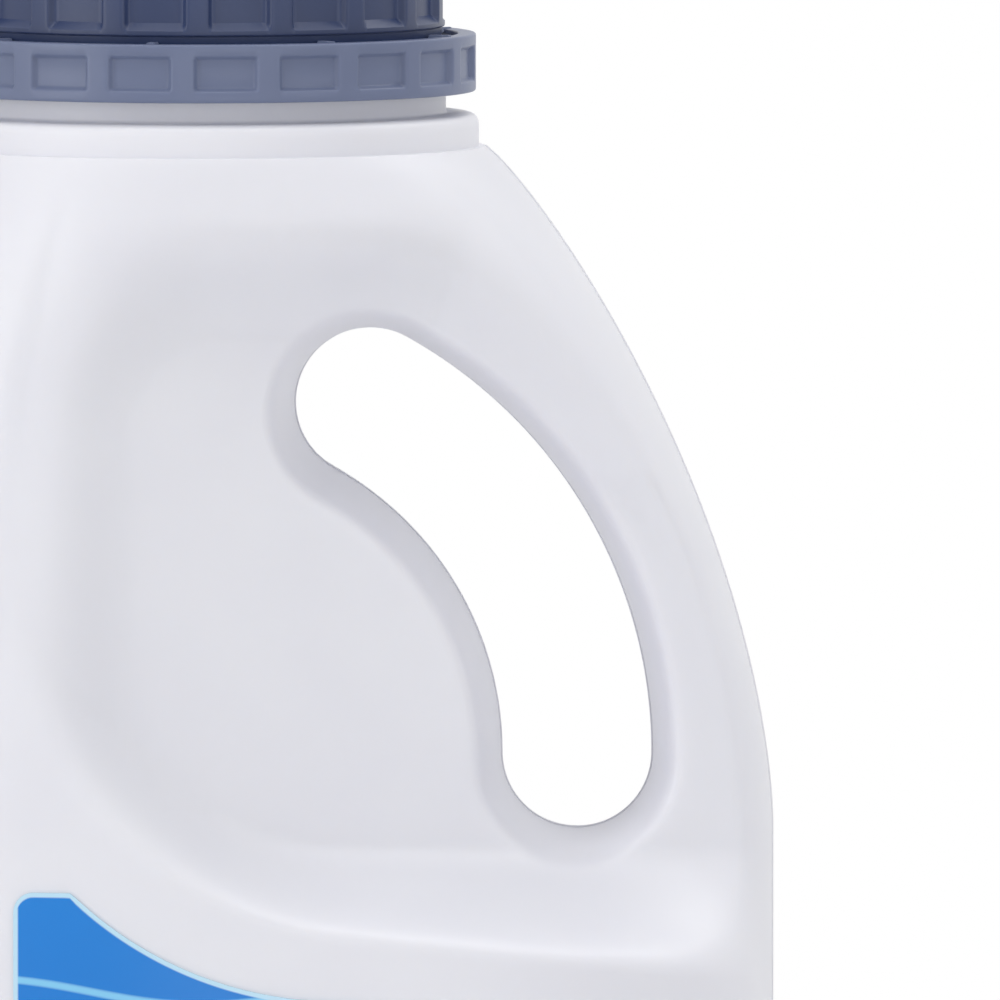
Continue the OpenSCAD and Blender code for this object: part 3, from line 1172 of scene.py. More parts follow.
def ring_tree() -> bpy.types.NodeTree:
    """Geometry Nodes tree that sets copies of a shape round an upright axis.

    Returns:
        The tree, with inputs Copies, Axis, Weld and Finish.
    """
    tree = bpy.data.node_groups.new("ring_of_copies", "GeometryNodeTree")
    for label, kind in (
        ("Shape", "NodeSocketGeometry"),
        ("Copies", "NodeSocketInt"),
        ("Axis", "NodeSocketVector"),
        ("Weld", "NodeSocketFloat"),
        ("Finish", "NodeSocketMaterial"),
    ):
        tree.interface.new_socket(label, in_out="INPUT", socket_type=kind)
    tree.interface.new_socket("Shape", in_out="OUTPUT", socket_type="NodeSocketGeometry")
    given = add_node(tree, "NodeGroupInput").outputs
    places = add_node(
        tree,
        "GeometryNodeMeshLine",
        inputs={"Count": given["Copies"], "Start Location": given["Axis"], "Offset": (0, 0, 0)},
    ).outputs["Mesh"]
    index = add_node(tree, "GeometryNodeInputIndex").outputs["Index"]
    pitch = add_node(tree, "ShaderNodeMath", {"operation": "DIVIDE"}, {0: math.tau, 1: given["Copies"]})
    turn = add_node(tree, "ShaderNodeMath", {"operation": "MULTIPLY"}, {0: index, 1: pitch.outputs[0]})
    euler = add_node(tree, "ShaderNodeCombineXYZ", inputs={"Z": turn.outputs[0]}).outputs["Vector"]
    rotation = add_node(tree, "FunctionNodeEulerToRotation", inputs={0: euler}).outputs[0]
    copies = add_node(
        tree,
        "GeometryNodeInstanceOnPoints",
        inputs={"Points": places, "Instance": given["Shape"], "Rotation": rotation},
    ).outputs["Instances"]
    real = add_node(
        tree,
        "GeometryNodeRealizeInstances",
        inputs={"Geometry": copies},
    ).outputs["Geometry"]
    welded = add_node(
        tree,
        "GeometryNodeMergeByDistance",
        inputs={"Geometry": real, "Distance": given["Weld"]},
    ).outputs["Geometry"]
    dressed = add_node(
        tree,
        "GeometryNodeSetMaterial",
        inputs={"Geometry": welded, "Material": given["Finish"]},
    ).outputs["Geometry"]
    add_node(tree, "NodeGroupOutput", inputs={"Shape": dressed})
    return tree


def line_tree() -> bpy.types.NodeTree:
    """Geometry Nodes tree that lays a fine round bead along edges.

    Returns:
        The tree, with inputs Radius, Sides and Finish.
    """
    tree = bpy.data.node_groups.new("bead_along_edges", "GeometryNodeTree")
    for label, kind in (
        ("Path", "NodeSocketGeometry"),
        ("Radius", "NodeSocketFloat"),
        ("Sides", "NodeSocketInt"),
        ("Finish", "NodeSocketMaterial"),
    ):
        tree.interface.new_socket(label, in_out="INPUT", socket_type=kind)
    tree.interface.new_socket("Bead", in_out="OUTPUT", socket_type="NodeSocketGeometry")
    given = add_node(tree, "NodeGroupInput").outputs
    path = add_node(tree, "GeometryNodeMeshToCurve", inputs={"Mesh": given["Path"]}).outputs["Curve"]
    section = add_node(
        tree,
        "GeometryNodeCurvePrimitiveCircle",
        inputs={"Resolution": given["Sides"], "Radius": given["Radius"]},
    ).outputs["Curve"]
    bead = add_node(
        tree,
        "GeometryNodeCurveToMesh",
        inputs={"Curve": path, "Profile Curve": section, "Fill Caps": True},
    ).outputs["Mesh"]
    real = add_node(
        tree,
        "GeometryNodeRealizeInstances",
        inputs={"Geometry": bead},
    ).outputs["Geometry"]
    dressed = add_node(
        tree,
        "GeometryNodeSetMaterial",
        inputs={"Geometry": real, "Material": given["Finish"]},
    ).outputs["Geometry"]
    add_node(tree, "NodeGroupOutput", inputs={"Bead": dressed})
    return tree


def grown(piece: bpy.types.Object, tree: bpy.types.NodeTree, values: dict[str, Any]) -> bpy.types.Object:
    """Run a Geometry Nodes tree on a piece and keep the result as a plain mesh.

    Args:
        piece: Object that holds the tree's input shape; its mesh is exchanged.
        tree: Tree to run.
        values: Tree inputs by name.

    Returns:
        The same object with the grown mesh and no modifier.
    """
    modifier = piece.modifiers.new(tree.name, "NODES")
    modifier.node_group = tree
    for item in tree.interface.items_tree:
        if item.in_out == "INPUT" and item.name in values:
            modifier[item.identifier] = values[item.name]
    depsgraph = bpy.context.evaluated_depsgraph_get()
    mesh = bpy.data.meshes.new_from_object(piece.evaluated_get(depsgraph))
    mesh.name = piece.name
    piece.modifiers.clear()
    piece.data = mesh
    return piece


@dataclass(frozen=True)
class PanelledRing:
    """One pitch of a ring whose outer wall has ribs between sunk panels."""

    copies: int
    radius: float
    rib_w: float
    depth: float
    turn_deg: float
    fillet_w: float = 0.55
    rib_steps: int = 3
    fillet_steps: int = 6
    panel_steps: int = 6

    def lanes(self) -> tuple[np.ndarray, np.ndarray]:
        """Angles across one pitch, in degrees from its rib, and how far each is sunk.

        Returns:
            The angles and the shares of the panel's depth.
        """
        half_pitch = 180 / self.copies
        rib = math.degrees(self.rib_w / 2 / self.radius)
        fillet = math.degrees(self.fillet_w / self.radius)
        slope = np.linspace(0, 1, self.fillet_steps + 1)
        side = np.concatenate(
            [
                np.linspace(0, rib, self.rib_steps + 1)[:-1],
                rib + fillet * slope,
                np.linspace(rib + fillet, half_pitch, self.panel_steps + 1)[1:],
            ]
        )
        sunk = np.concatenate([np.zeros(self.rib_steps), s_curve(slope), np.ones(self.panel_steps)])
        angles = np.concatenate([-side[:0:-1], side])
        return angles, np.concatenate([sunk[:0:-1], sunk])

    def build(
        self,
        name: str,
        path: Sequence[tuple[float, float, float]],
        looped: bool,
    ) -> bpy.types.Object:
        """Build one pitch about the upright axis through the origin.

        Args:
            name: Name of the piece.
            path: Radius, height and share of sinking along the section, anticlockwise from outside.
            looped: Whether the section closes on itself.

        Returns:
            The open sector, ready to be copied round the axis.
        """
        angles, sunk = self.lanes()
        turns = np.radians(self.turn_deg + angles)
        points = []
        for radius, z, sink in path:
            reach = radius - self.depth * sink * sunk
            level = np.full_like(turns, z)
            points.append(np.stack([reach * np.cos(turns), reach * np.sin(turns), level], axis=1))
        width = len(angles)
        rows = len(path)
        faces = []
        for i in range(rows if looped else rows - 1):
            low, high = i * width, (i + 1) % rows * width
            for j in range(width - 1):
                faces.append([low + j, low + j + 1, high + j + 1, high + j])
        return make_piece(name, np.concatenate(points), faces)


class Slope(Enum):
    """Section of the slope at the lower or upper end of a sunk panel."""

    SOFT = "an S-curve"
    BEVEL = "a flat bevel that catches the light"


@dataclass
class Closure:
    """Screw cap, foam liner and tamper band, about the neck's axis."""

    form: BottleForm
    neck: NeckForm
    cap_r: float
    cap_z: float
    cap_top: float
    band_r: float
    band_z: float
    bridge_top: float
    liner_r: float
    liner_z: float
    liner_t: float
    # Cap
    cap_bore_r: float = 22.8
    cap_top_t: float = 1.8
    cap_round: float = 1.6
    cap_round_steps: int = 8
    cap_ribs: int = 18
    cap_rib_turn: float = -90.0
    rib_w: float = 2.0
    panel_depth: float = 0.8
    cap_rim: float = 0.5
    lip_h: float = 1.0
    lip_t: float = 1.4
    # Tamper band and its bridges
    band_pockets: int = 20
    band_turn: float = 6.0
    band_pocket: float = 0.6
    band_rim: float = 1.0
    band_snap_h: float = 3.0
    band_play: float = 0.2
    bridge_count: int = 9
    bridge_w: float = 1.2
    bridge_taper: float = 0.6
    bridge_play: float = 0.3
    cap_gap: float = 0.7
    # Edges and meshes of all three
    edge_round: float = 0.2
    snap_round: float = 0.3
    seat_round: float = 0.6
    edge_steps: int = 3
    slope_steps: int = 5
    weld: float = 0.002
    sharp_deg: float = 40.0
    # Screw thread
    thread_h: float = 0.9
    thread_root_w: float = 2.4
    thread_crest_w: float = 1.0
    thread_sink: float = 0.05
    thread_lead: float = 6.0
    thread_start: float = 3.5
    neck_turns: float = 1.6
    cap_turns: float = 1.3
    # Foam liner
    liner_dent: float = 0.12
    liner_dent_slope: float = 0.5
    liner_lanes: int = 96

    @property
    def band_top(self) -> float:
        """Height of the band's upper edge, under the tips of its broken bridges."""
        return self.bridge_top - self.cap_gap / 2 + self.band_play

    def panel_end(
        self,
        radius: float,
        start: float,
        height: float,
        shares: tuple[float, float],
        slope: Slope,
    ) -> list[tuple[float, float, float]]:
        """Section points of the slope at one end of a sunk panel.

        Args:
            radius: Radius of the wall that the panel is sunk into.
            start: Height of the slope's lower end.
            height: Height of the slope.
            shares: Share of the panel's depth at the slope's lower and upper end.
            slope: Section of the slope.

        Returns:
            Radius, height and share of sinking of each point.
        """
        climb = np.linspace(0, 1, self.slope_steps + 1)
        bend = climb if slope is Slope.BEVEL else s_curve(climb)
        sunk = shares[0] + (shares[1] - shares[0]) * bend
        return [(radius, start + height * float(c), float(s)) for c, s in zip(climb, sunk)]

    def build_cap(self, tree: bpy.types.NodeTree, finish: bpy.types.Material) -> bpy.types.Object:
        """Build the ribbed cap.

        Args:
            tree: Tree that sets copies round an axis.
            finish: Material of the cap.

        Returns:
            The closed cap, with its ribs, plain top and bore.
        """
        high = self.cap_top
        low = self.cap_z + self.lip_h
        inner_top = high - self.cap_top_t
        panel_top = high - self.cap_round - self.cap_rim
        lip_r = self.cap_bore_r + self.lip_t
        edge = rounded_path(
            [
                (self.cap_r, panel_top, 0),
                (self.cap_r, high, self.cap_round),
                (0, high, 0),
            ],
            self.cap_round_steps,
        )
        under = rounded_path(
            [
                (0, inner_top, 0),
                (self.cap_bore_r, inner_top, self.seat_round),
                (self.cap_bore_r, self.cap_z, self.edge_round),
                (lip_r, self.cap_z, self.edge_round),
                (lip_r, low, self.edge_round / 2),
                (self.cap_r, low, self.edge_round),
                (self.cap_r, low + self.cap_rim, 0),
            ],
            self.edge_steps,
        )
        path = [(r, z, 0.0) for r, z in under[:-1]]
        depth = self.panel_depth
        path += self.panel_end(self.cap_r, low + self.cap_rim, depth, (0, 1), Slope.BEVEL)
        path += self.panel_end(self.cap_r, panel_top - depth, depth, (1, 0), Slope.SOFT)
        path += [(r, z, 0.0) for r, z in edge[1:]]
        ring = PanelledRing(self.cap_ribs, self.cap_r, self.rib_w, self.panel_depth, self.cap_rib_turn)
        piece = ring.build("ribbed_cap", path, False)
        return self.spread(piece, tree, self.cap_ribs, finish)

    def build_band(self, tree: bpy.types.NodeTree, finish: bpy.types.Material) -> bpy.types.Object:
        """Build the tamper band.

        Args:
            tree: Tree that sets copies round an axis.
            finish: Material of the band.

        Returns:
            The closed band, with its pockets and inner snap ring.
        """
        low, high = self.band_z, self.band_top
        snap_r = self.neck.land_r + self.band_play
        upper_r = snap_r + self.neck.bead_proud
        snap_z = low + self.band_snap_h
        bevel = self.band_rim / 2
        back = rounded_path(
            [
                (self.band_r - bevel, high, 0),
                (upper_r, high, self.edge_round),
                (upper_r, snap_z, self.edge_round),
                (snap_r, snap_z, self.snap_round),
                (snap_r, low, self.snap_round),
                (self.band_r, low, self.snap_round),
                (self.band_r, low + self.band_rim, 0),
            ],
            self.edge_steps,
        )
        path = [(r, z, 0.0) for r, z in back[1:-1]]
        depth = self.band_pocket
        path += self.panel_end(self.band_r, low + self.band_rim, depth, (0, 1), Slope.SOFT)
        path += self.panel_end(self.band_r, high - self.band_rim - depth, depth, (1, 0), Slope.SOFT)
        shoulder = rounded_path(
            [
                (self.band_r, high - self.band_rim, 0),
                (self.band_r, high, bevel),
                (self.band_r - bevel, high, 0),
            ],
            self.edge_steps,
        )
        path += [(r, z, 0.0) for r, z in shoulder[1:]]
        first_rib = self.band_turn + 180 / self.band_pockets
        ring = PanelledRing(self.band_pockets, self.band_r, self.rib_w, self.band_pocket, first_rib)
        piece = ring.build("pocketed_band", path, True)
        return self.spread(piece, tree, self.band_pockets, finish)

    def build_bridges(self, tree: bpy.types.NodeTree, finish: bpy.types.Material) -> bpy.types.Object:
        """Build the stubs that are left of the bridges between band and cap.

        Args:
            tree: Tree that sets copies round an axis.
            finish: Material of the band.

        Returns:
            The ring of stubs.
        """
        top = self.band_top
        reach = (self.cap_bore_r + self.lip_t + self.bridge_play, self.band_r - self.band_rim)
        tip = self.bridge_top
        foot = top - self.cap_gap / 2
        half = self.bridge_w / 2
        tip_half = half * self.bridge_taper
        section = [(-half, foot), (half, foot), (tip_half, tip), (-tip_half, tip)]
        points = [(r, y, z) for r in reach for y, z in section]
        faces = [[3, 2, 1, 0], [4, 5, 6, 7]]
        faces += [[j, (j + 1) % 4, (j + 1) % 4 + 4, j + 4] for j in range(4)]
        turn = math.pi / self.bridge_count
        out = np.array([math.cos(turn), math.sin(turn)])
        across = np.array([-math.sin(turn), math.cos(turn)])
        spun = [(*(r * out + y * across), z) for r, y, z in points]
        piece = make_piece("band_bridges", np.array(spun), faces)
        return self.spread(piece, tree, self.bridge_count, finish)

    def spread(
        self,
        piece: bpy.types.Object,
        tree: bpy.types.NodeTree,
        copies: int,
        finish: bpy.types.Material,
    ) -> bpy.types.Object:
        """Copy one pitch round the neck's axis and weld the copies.

        Args:
            piece: One pitch, whose mesh is exchanged.
            tree: Tree that sets copies round an axis.
            copies: Number of copies.
            finish: Material of the copies.

        Returns:
            The same piece, whole.
        """
        values = {
            "Copies": copies,
            "Axis": (self.form.neck_x * MM, 0.0, 0.0),
            "Weld": self.weld * MM,
            "Finish": finish,
        }
        grown(piece, tree, values)
        shade(piece, self.sharp_deg)
        return piece

    def build_liner(self) -> bpy.types.Object:
        """Build the foam liner, dented where the mouth presses on it.

        Returns:
            The closed disc.
        """
        low, high = self.liner_z, self.liner_z + self.liner_t
        dent_in, dent_out = self.neck.stem_r - self.neck.wall, self.neck.stem_r
        loose = low - self.liner_dent
        corners = [
            (0.0, loose, 0.0),
            (dent_in - self.liner_dent_slope, loose, self.edge_round),
            (dent_in, low, self.edge_round),
            (dent_out, low, self.edge_round),
            (dent_out + self.liner_dent_slope, loose, self.edge_round),
            (self.liner_r, loose, self.edge_round),
            (self.liner_r, high, self.edge_round),
            (0.0, high, 0.0),
        ]
        section = rounded_path(corners, self.edge_steps)
        turns = np.linspace(0, math.tau, self.liner_lanes, endpoint=False)
        body = section[1:-1]
        points = [(self.form.neck_x, 0.0, section[0][1]), (self.form.neck_x, 0.0, section[-1][1])]
        for radius, z in body:
            for turn in turns:
                points.append((self.form.neck_x + radius * math.cos(turn), radius * math.sin(turn), z))
        count = len(turns)
        faces = []
        for j in range(count):
            k = (j + 1) % count
            faces.append([0, 2 + k, 2 + j])
            top = 2 + (len(body) - 1) * count
            faces.append([1, top + j, top + k])
            for i in range(len(body) - 1):
                base = 2 + i * count
                faces.append([base + j, base + k, base + count + k, base + count + j])
        piece = make_piece("foam_liner", np.array(points), faces)
        shade(piece, self.sharp_deg)
        return piece

    def thread(self, root_r: float, height: float, turns: float, lift: float) -> ScrewThread:
        """One of the two ridges of the screw.

        Args:
            root_r: Radius of the wall that carries the ridge.
            height: Height of the ridge, negative where it stands inwards.
            turns: Number of turns.
            lift: Height of the ridge above the neck's.

        Returns:
            The ridge, sunk a little into its wall.
        """
        return ScrewThread(
            root_r=root_r - math.copysign(self.thread_sink, height),
            crest_r=root_r + height,
            root_w=self.thread_root_w,
            crest_w=self.thread_crest_w,
            lead=self.thread_lead,
            turns=turns,
            start_z=self.cap_z + self.thread_start + lift,
            axis_x=self.form.neck_x,
        )

    def neck_thread(self) -> ScrewThread:
        """The ridge on the neck's stem."""
        return self.thread(self.neck.stem_r, self.thread_h, self.neck_turns, 0.0)

    def cap_thread(self) -> ScrewThread:
        """The ridge inside the cap, half a lead above the neck's."""
        return self.thread(self.cap_bore_r, -self.thread_h, self.cap_turns, self.thread_lead / 2)


@dataclass
class Label:
    """The film label on the front of the straight body."""

    form: BottleForm
    half_w: float
    low: float
    high: float
    thickness: float = 0.2
    glue: float = 0.02
    corner: float = 2.0
    margin: float = 7.3
    columns: int = 96
    rows: int = 72
    sharp_deg: float = 50.0

    def top_edge(self, x: np.ndarray) -> np.ndarray:
        """Height of the upper edge, which falls away in step with the recess.

        Args:
            x: Places across the label.

        Returns:
            The heights of the edge.
        """
        form = self.form
        middle = form.recess_lower_r - form.recess_reach
        radius = form.recess_lower_r + self.margin
        centre = form.recess_low(middle) + form.recess_lower_r
        falling = centre - np.sqrt(np.maximum(0, radius**2 - (x - middle) ** 2))
        falling = np.where(x < middle, falling, form.recess_low(x) - self.margin)
        return np.minimum(self.high, falling) - self.corner_cut(x)

    def corner_cut(self, x: np.ndarray) -> np.ndarray:
        """How much the rounded corners take off near the side edges."""
        into = np.clip(self.half_w - np.abs(x), 0, self.corner)
        return self.corner - np.sqrt(np.maximum(0, self.corner**2 - (self.corner - into) ** 2))

    def build(self) -> bpy.types.Object:
        """Build the film with its thickness and its distance-from-edge attribute.

        Returns:
            The closed film.
        """
        x = self.half_w * (2 * eased(self.columns) - 1)
        top = self.top_edge(x)
        low = self.low + self.corner_cut(x)
        shares = eased(self.rows)
        z = low[None, :] + (top - low)[None, :] * shares[:, None]
        across = np.broadcast_to(x, z.shape)
        layers = []
        for lift in (self.glue, self.glue + self.thickness):
            depth = self.form.body_half(across, np.zeros_like(z), -lift)
            layers.append(np.stack([across, -depth, z], axis=2).reshape(-1, 3))
        width, count = len(x), z.size
        faces = []
        for r in range(self.rows):
            for c in range(self.columns):
                a = r * width + c
                loop = [a, a + 1, a + width + 1, a + width]
                faces.append([n + count for n in loop])
                faces.append(loop[::-1])
        rim = [c for c in range(width)]
        rim += [r * width + width - 1 for r in range(1, self.rows + 1)]
        rim += [self.rows * width + c for c in range(width - 2, -1, -1)]
        rim += [r * width for r in range(self.rows - 1, 0, -1)]
        for a, b in zip(rim, rim[1:] + rim[:1]):
            faces.append([a, b, b + count, a + count])
        piece = make_piece("label_film", np.concatenate(layers), faces)
        slope = np.gradient(top, x)
        from_top = (top[None, :] - z) / np.sqrt(1 + slope[None, :] ** 2)
        from_side = np.broadcast_to(self.half_w - np.abs(x), z.shape)
        edge = np.minimum(np.minimum(from_top, z - low[None, :]), from_side).reshape(-1)
        attribute = piece.data.attributes.new("edge_mm", "FLOAT", "POINT")
        attribute.data.foreach_set("value", np.concatenate([edge, edge]).astype(np.float32))
        shade(piece, self.sharp_deg)
        return piece


class Side(Enum):
    """Which side of the jug a mould line runs along."""

    PLAIN = 0
    HANDLE = 1


@dataclass
class MouldLine:
    """The fine seam that the two halves of the mould leave round the jug."""

    form: BottleForm
    radius: float = 0.16
    sides: int = 8
    fillet_steps: int = 9
    steps: int = 160
    sharp_deg: float = 60.0

    def side_path(self, side: Side) -> list[tuple[float, float, float]]:
        """Points from the base's edge up one side to the shoulder.

        Args:
            side: Side that the path runs along.

        Returns:
            The points in order.
        """
        form = self.form
        points = []
        clear_of_floor = math.acos(1 - self.radius / form.base_fillet)
        for turn in np.linspace(clear_of_floor, math.pi / 2, self.fillet_steps + 1):
            inset = form.base_fillet * (1 - math.sin(turn))
            edge = float(form.edges(np.float64(0), inset)[side.value])
            points.append((edge, 0.0, form.base_fillet * (1 - math.cos(turn))))
        for z in np.linspace(form.base_fillet, form.shoulder_top, self.steps)[1:]:
            points.append((float(form.edges(np.float64(z))[side.value]), 0.0, float(z)))
        return points

    def hole_path(self) -> list[tuple[float, float, float]]:
        """Points once round the grip hole.

        Returns:
            The points in order.
        """
        form = self.form
        low = form.grip_z - form.grip_half
        high = form.grip_end[1] + form.grip_half
        heights = low + (high - low) * eased(self.steps // 2)
        sides = [form.grip_edges(float(z), 0) for z in heights]
        up = [(near, 0.0, float(z)) for (far, near), z in zip(sides, heights)]
        down = [(far, 0.0, float(z)) for (far, near), z in zip(sides, heights)]
        return up + down[-2:0:-1]

    def build(self, tree: bpy.types.NodeTree, finish: bpy.types.Material) -> bpy.types.Object:
        """Lay the bead along the seam.

        Args:
            tree: Tree that lays a bead along edges.
            finish: Material of the jug.

        Returns:
            The bead.
        """
        points: list[tuple[float, float, float]] = []
        edges: list[tuple[int, int]] = []
        for path, closed in (
            (self.side_path(Side.PLAIN), False),
            (self.side_path(Side.HANDLE), False),
            (self.hole_path(), True),
        ):
            first = len(points)
            points += path
            edges += [(first + i, first + i + 1) for i in range(len(path) - 1)]
            if closed:
                edges.append((len(points) - 1, first))
        mesh = bpy.data.meshes.new("mould_line")
        mesh.from_pydata((np.array(points) * MM).tolist(), edges, [])
        piece = bpy.data.objects.new("mould_line", mesh)
        bpy.context.scene.collection.objects.link(piece)
        grown(piece, tree, {"Radius": self.radius * MM, "Sides": self.sides, "Finish": finish})
        shade(piece, self.sharp_deg)
        return piece


@dataclass(frozen=True)
class Softbox:
    """One rectangular studio lamp, placed and aimed in metres."""

    name: str
    place: tuple[float, float, float]
    size: tuple[float, float]
    watts: float

    def build(self, aim: Vector) -> None:
        """Add the lamp.

        Args:
            aim: Point that the lamp faces.
        """
        lamp = bpy.data.lights.new(self.name, "AREA")
        lamp.shape = "RECTANGLE"
        lamp.size, lamp.size_y = self.size
        lamp.energy = self.watts
        holder = bpy.data.objects.new(self.name, lamp)
        holder.location = self.place
        holder.rotation_euler = (aim - Vector(self.place)).to_track_quat("-Z", "Y").to_euler()
        bpy.context.scene.collection.objects.link(holder)


@dataclass
class Studio:
    """White studio with a camera at the photograph's angle."""

    aim_mm: tuple[float, float, float] = (21.0, 0.0, 162.5)
    elevation_deg: float = 3.5
    distance_m: float = 3.0
    frame_w_mm: float = 100.0
    sensor_mm: float = 36.0
    floor_half_m: float = 0.9
    fade_m: tuple[float, float] = (0.3, 0.85)
    paper: tuple[str, str] = ("#F6F6F6", "#F9F9F9")
    fibre_mm: float = 3.0
    fibre_detail: float = 2.0
    white: str = "#FFFFFF"
    ambient: float = 0.53
    lamps: tuple[Softbox, ...] = (
        Softbox("left softbox", (-0.75, -0.45, 0.35), (0.5, 0.8), 2.1),
        Softbox("right softbox", (0.65, -0.6, 0.5), (0.35, 0.7), 0.7),
        Softbox("front softbox", (0.25, -1.3, 0.15), (0.9, 0.4), 1.1),
        Softbox("rim softbox", (0.45, 0.25, 0.75), (0.3, 0.3), 0.65),
        Softbox("top softbox", (0.0, -0.1, 0.9), (0.8, 0.6), 2.6),
    )

    def build(self) -> None:
        """Add the camera, lamps, floor and surroundings."""
        aim = Vector(self.aim_mm) * MM
        self.add_camera(aim)
        for lamp in self.lamps:
            lamp.build(aim)
        self.add_floor()
        self.add_surroundings()
        bpy.context.scene.view_settings.view_transform = "Standard"

    def add_camera(self, aim: Vector) -> None:
        """Add the camera, so that frame_w_mm fills the picture at the aim.

        Args:
            aim: Point in the middle of the picture.
        """
        tilt = math.radians(self.elevation_deg)
        back = Vector((0, -math.cos(tilt), math.sin(tilt)))
        lens = bpy.data.cameras.new("camera")
        lens.sensor_width = self.sensor_mm
        lens.lens = self.distance_m * self.sensor_mm / (self.frame_w_mm * MM)
        camera = bpy.data.objects.new("camera", lens)
        camera.location = aim + back * self.distance_m
        camera.rotation_euler = (-back).to_track_quat("-Z", "Y").to_euler()
        bpy.context.scene.collection.objects.link(camera)
        bpy.context.scene.camera = camera

    def add_floor(self) -> None:
        """Add the pale floor that the jug stands on, which fades to white where it ends."""
        half = self.floor_half_m / MM
        corners = np.array([(-half, -half, 0), (half, -half, 0), (half, half, 0), (-half, half, 0)])
        floor = make_piece("studio_floor", corners, [[0, 1, 2, 3]])
        material, tree = new_material("matt white paper")
        place = add_node(tree, "ShaderNodeTexCoord").outputs["Object"]
        fibre = add_node(
            tree,
            "ShaderNodeTexNoise",
            inputs={"Vector": place, "Scale": per_metre(self.fibre_mm), "Detail": self.fibre_detail},
        ).outputs["Fac"]
        tone = add_node(
            tree,
            "ShaderNodeMix",
            {"data_type": "RGBA"},
            {0: fibre, 6: linear_rgb(self.paper[0]), 7: linear_rgb(self.paper[1])},
        ).outputs[2]
        paper = add_node(tree, "ShaderNodeBsdfDiffuse", inputs={"Color": tone}).outputs["BSDF"]
        away = add_node(
            tree,
            "ShaderNodeVectorMath",
            {"operation": "LENGTH"},
            {0: place},
        ).outputs["Value"]
        far = add_node(
            tree,
            "ShaderNodeMapRange",
            {"interpolation_type": "SMOOTHSTEP"},
            {"Value": away, "From Min": self.fade_m[0], "From Max": self.fade_m[1]},
        ).outputs["Result"]
        faded = add_node(
            tree,
            "ShaderNodeMath",
            {"operation": "MULTIPLY"},
            {0: far, 1: self.backdrop_seen(tree)},
        ).outputs[0]
        glow = add_node(tree, "ShaderNodeEmission", inputs={"Color": linear_rgb(self.white)}).outputs[0]
        surface = add_node(tree, "ShaderNodeMixShader", inputs={0: faded, 1: paper, 2: glow}).outputs[0]
        add_node(tree, "ShaderNodeOutputMaterial", inputs={"Surface": surface})
        floor.data.materials.append(material)

    def add_surroundings(self) -> None:
        """Add a world that looks white but lights the jug at a plain level."""
        world = bpy.data.worlds.new("white studio")
        bpy.context.scene.world = world
        world.use_nodes = True
        tree = world.node_tree
        tree.nodes.clear()
        white = linear_rgb(self.white)
        dim = add_node(tree, "ShaderNodeBackground", inputs={"Color": white, "Strength": self.ambient})
        bright = add_node(tree, "ShaderNodeBackground", inputs={"Color": white, "Strength": 1.0})
        mixed = add_node(
            tree,
            "ShaderNodeMixShader",
            inputs={0: self.backdrop_seen(tree), 1: dim.outputs[0], 2: bright.outputs[0]},
        )
        add_node(tree, "ShaderNodeOutputWorld", inputs={"Surface": mixed.outputs[0]})

    @staticmethod
    def backdrop_seen(tree: bpy.types.NodeTree) -> bpy.types.NodeSocket:
        """Tell the rays that show the backdrop from those that light the jug.

        Args:
            tree: Tree of the floor or of the world.

        Returns:
            A socket that is 1 for camera, glossy and transmission rays, and 0 for all others.
        """
        rays = add_node(tree, "ShaderNodeLightPath").outputs
        mirrored = add_node(
            tree,
            "ShaderNodeMath",
            {"operation": "ADD"},
            {0: rays["Is Camera Ray"], 1: rays["Is Glossy Ray"]},
        ).outputs[0]
        return add_node(
            tree,
            "ShaderNodeMath",
            {"operation": "ADD", "use_clamp": True},
            {0: mirrored, 1: rays["Is Transmission Ray"]},
        ).outputs[0]


def box_mm(node: str) -> tuple[Vector, Vector]:
    """Lowest and highest corner of a CAD node, in millimetres."""
    low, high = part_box(node)
    return low / MM, high / MM


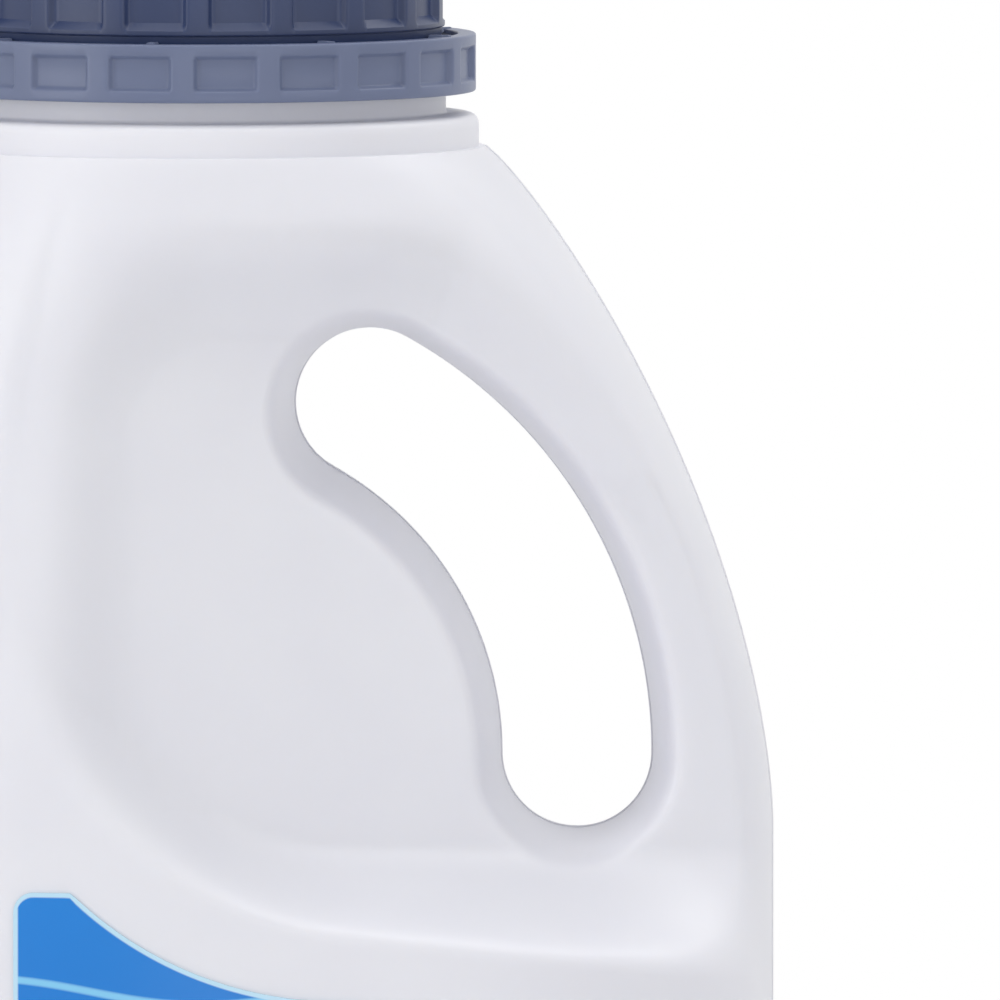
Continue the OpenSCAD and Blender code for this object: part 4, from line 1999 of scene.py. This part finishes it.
def seat(piece: bpy.types.Object, body: str, node: Optional[str] = None) -> None:
    """Set a finished piece on its body.

    Args:
        piece: The finished piece.
        body: CAD body that it moves with.
        node: CAD node that it stands for, if any.
    """
    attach(piece, body)
    if node:
        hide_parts(node)
    LOG.info("%s on %s: %d faces", piece.name, body, len(piece.data.polygons))


def main() -> None:
    """Build the object and its studio."""
    logging.basicConfig(level=logging.INFO, format="%(name)s: %(message)s")
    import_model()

    Studio().build()

    jug_low, jug_high = box_mm("bottle")
    cap_low, cap_high = box_mm("cap")
    band_low, band_high = box_mm("tamper_band")
    liner_low, liner_high = box_mm("cap_liner")
    label_low, label_high = box_mm("front_label")

    form = BottleForm(body_w=jug_high.x - jug_low.x, body_d=jug_high.y - jug_low.y)
    neck = NeckForm(mouth_z=jug_high.z)
    jug_plastic = BOTTLE_PLASTIC.material()
    cap_plastic = CAP_PLASTIC.material()
    band_plastic = BAND_PLASTIC.material()
    ring = ring_tree()

    jug = Bottle(form, neck).build()
    jug.data.materials.append(jug_plastic)
    seat(jug, "bottle", "bottle")

    seam = MouldLine(form).build(line_tree(), jug_plastic)
    seat(seam, "bottle")

    closure = Closure(
        form=form,
        neck=neck,
        cap_r=(cap_high.x - cap_low.x) / 2,
        cap_z=cap_low.z,
        cap_top=cap_high.z,
        band_r=(band_high.x - band_low.x) / 2,
        band_z=band_low.z,
        bridge_top=band_high.z,
        liner_r=(liner_high.x - liner_low.x) / 2,
        liner_z=liner_low.z,
        liner_t=liner_high.z - liner_low.z,
    )
    seat(closure.build_band(ring, band_plastic), "bottle", "tamper_band")
    seat(closure.build_bridges(ring, band_plastic), "bottle")
    seat(closure.build_cap(ring, cap_plastic), "cap", "cap")

    neck_thread = closure.neck_thread().build("neck_thread")
    neck_thread.data.materials.append(jug_plastic)
    seat(neck_thread, "bottle")

    cap_thread = closure.cap_thread().build("cap_thread")
    cap_thread.data.materials.append(cap_plastic)
    seat(cap_thread, "cap")

    liner = closure.build_liner()
    liner.data.materials.append(LINER_FOAM.material())
    seat(liner, "liner", "cap_liner")

    label = Label(form, (label_high.x - label_low.x) / 2, label_low.z, label_high.z)
    film = label.build()
    film.data.materials.append(LabelFilm().material(label.low, label.high))
    seat(film, "bottle", "front_label")


if __name__ == "__main__":
    main()
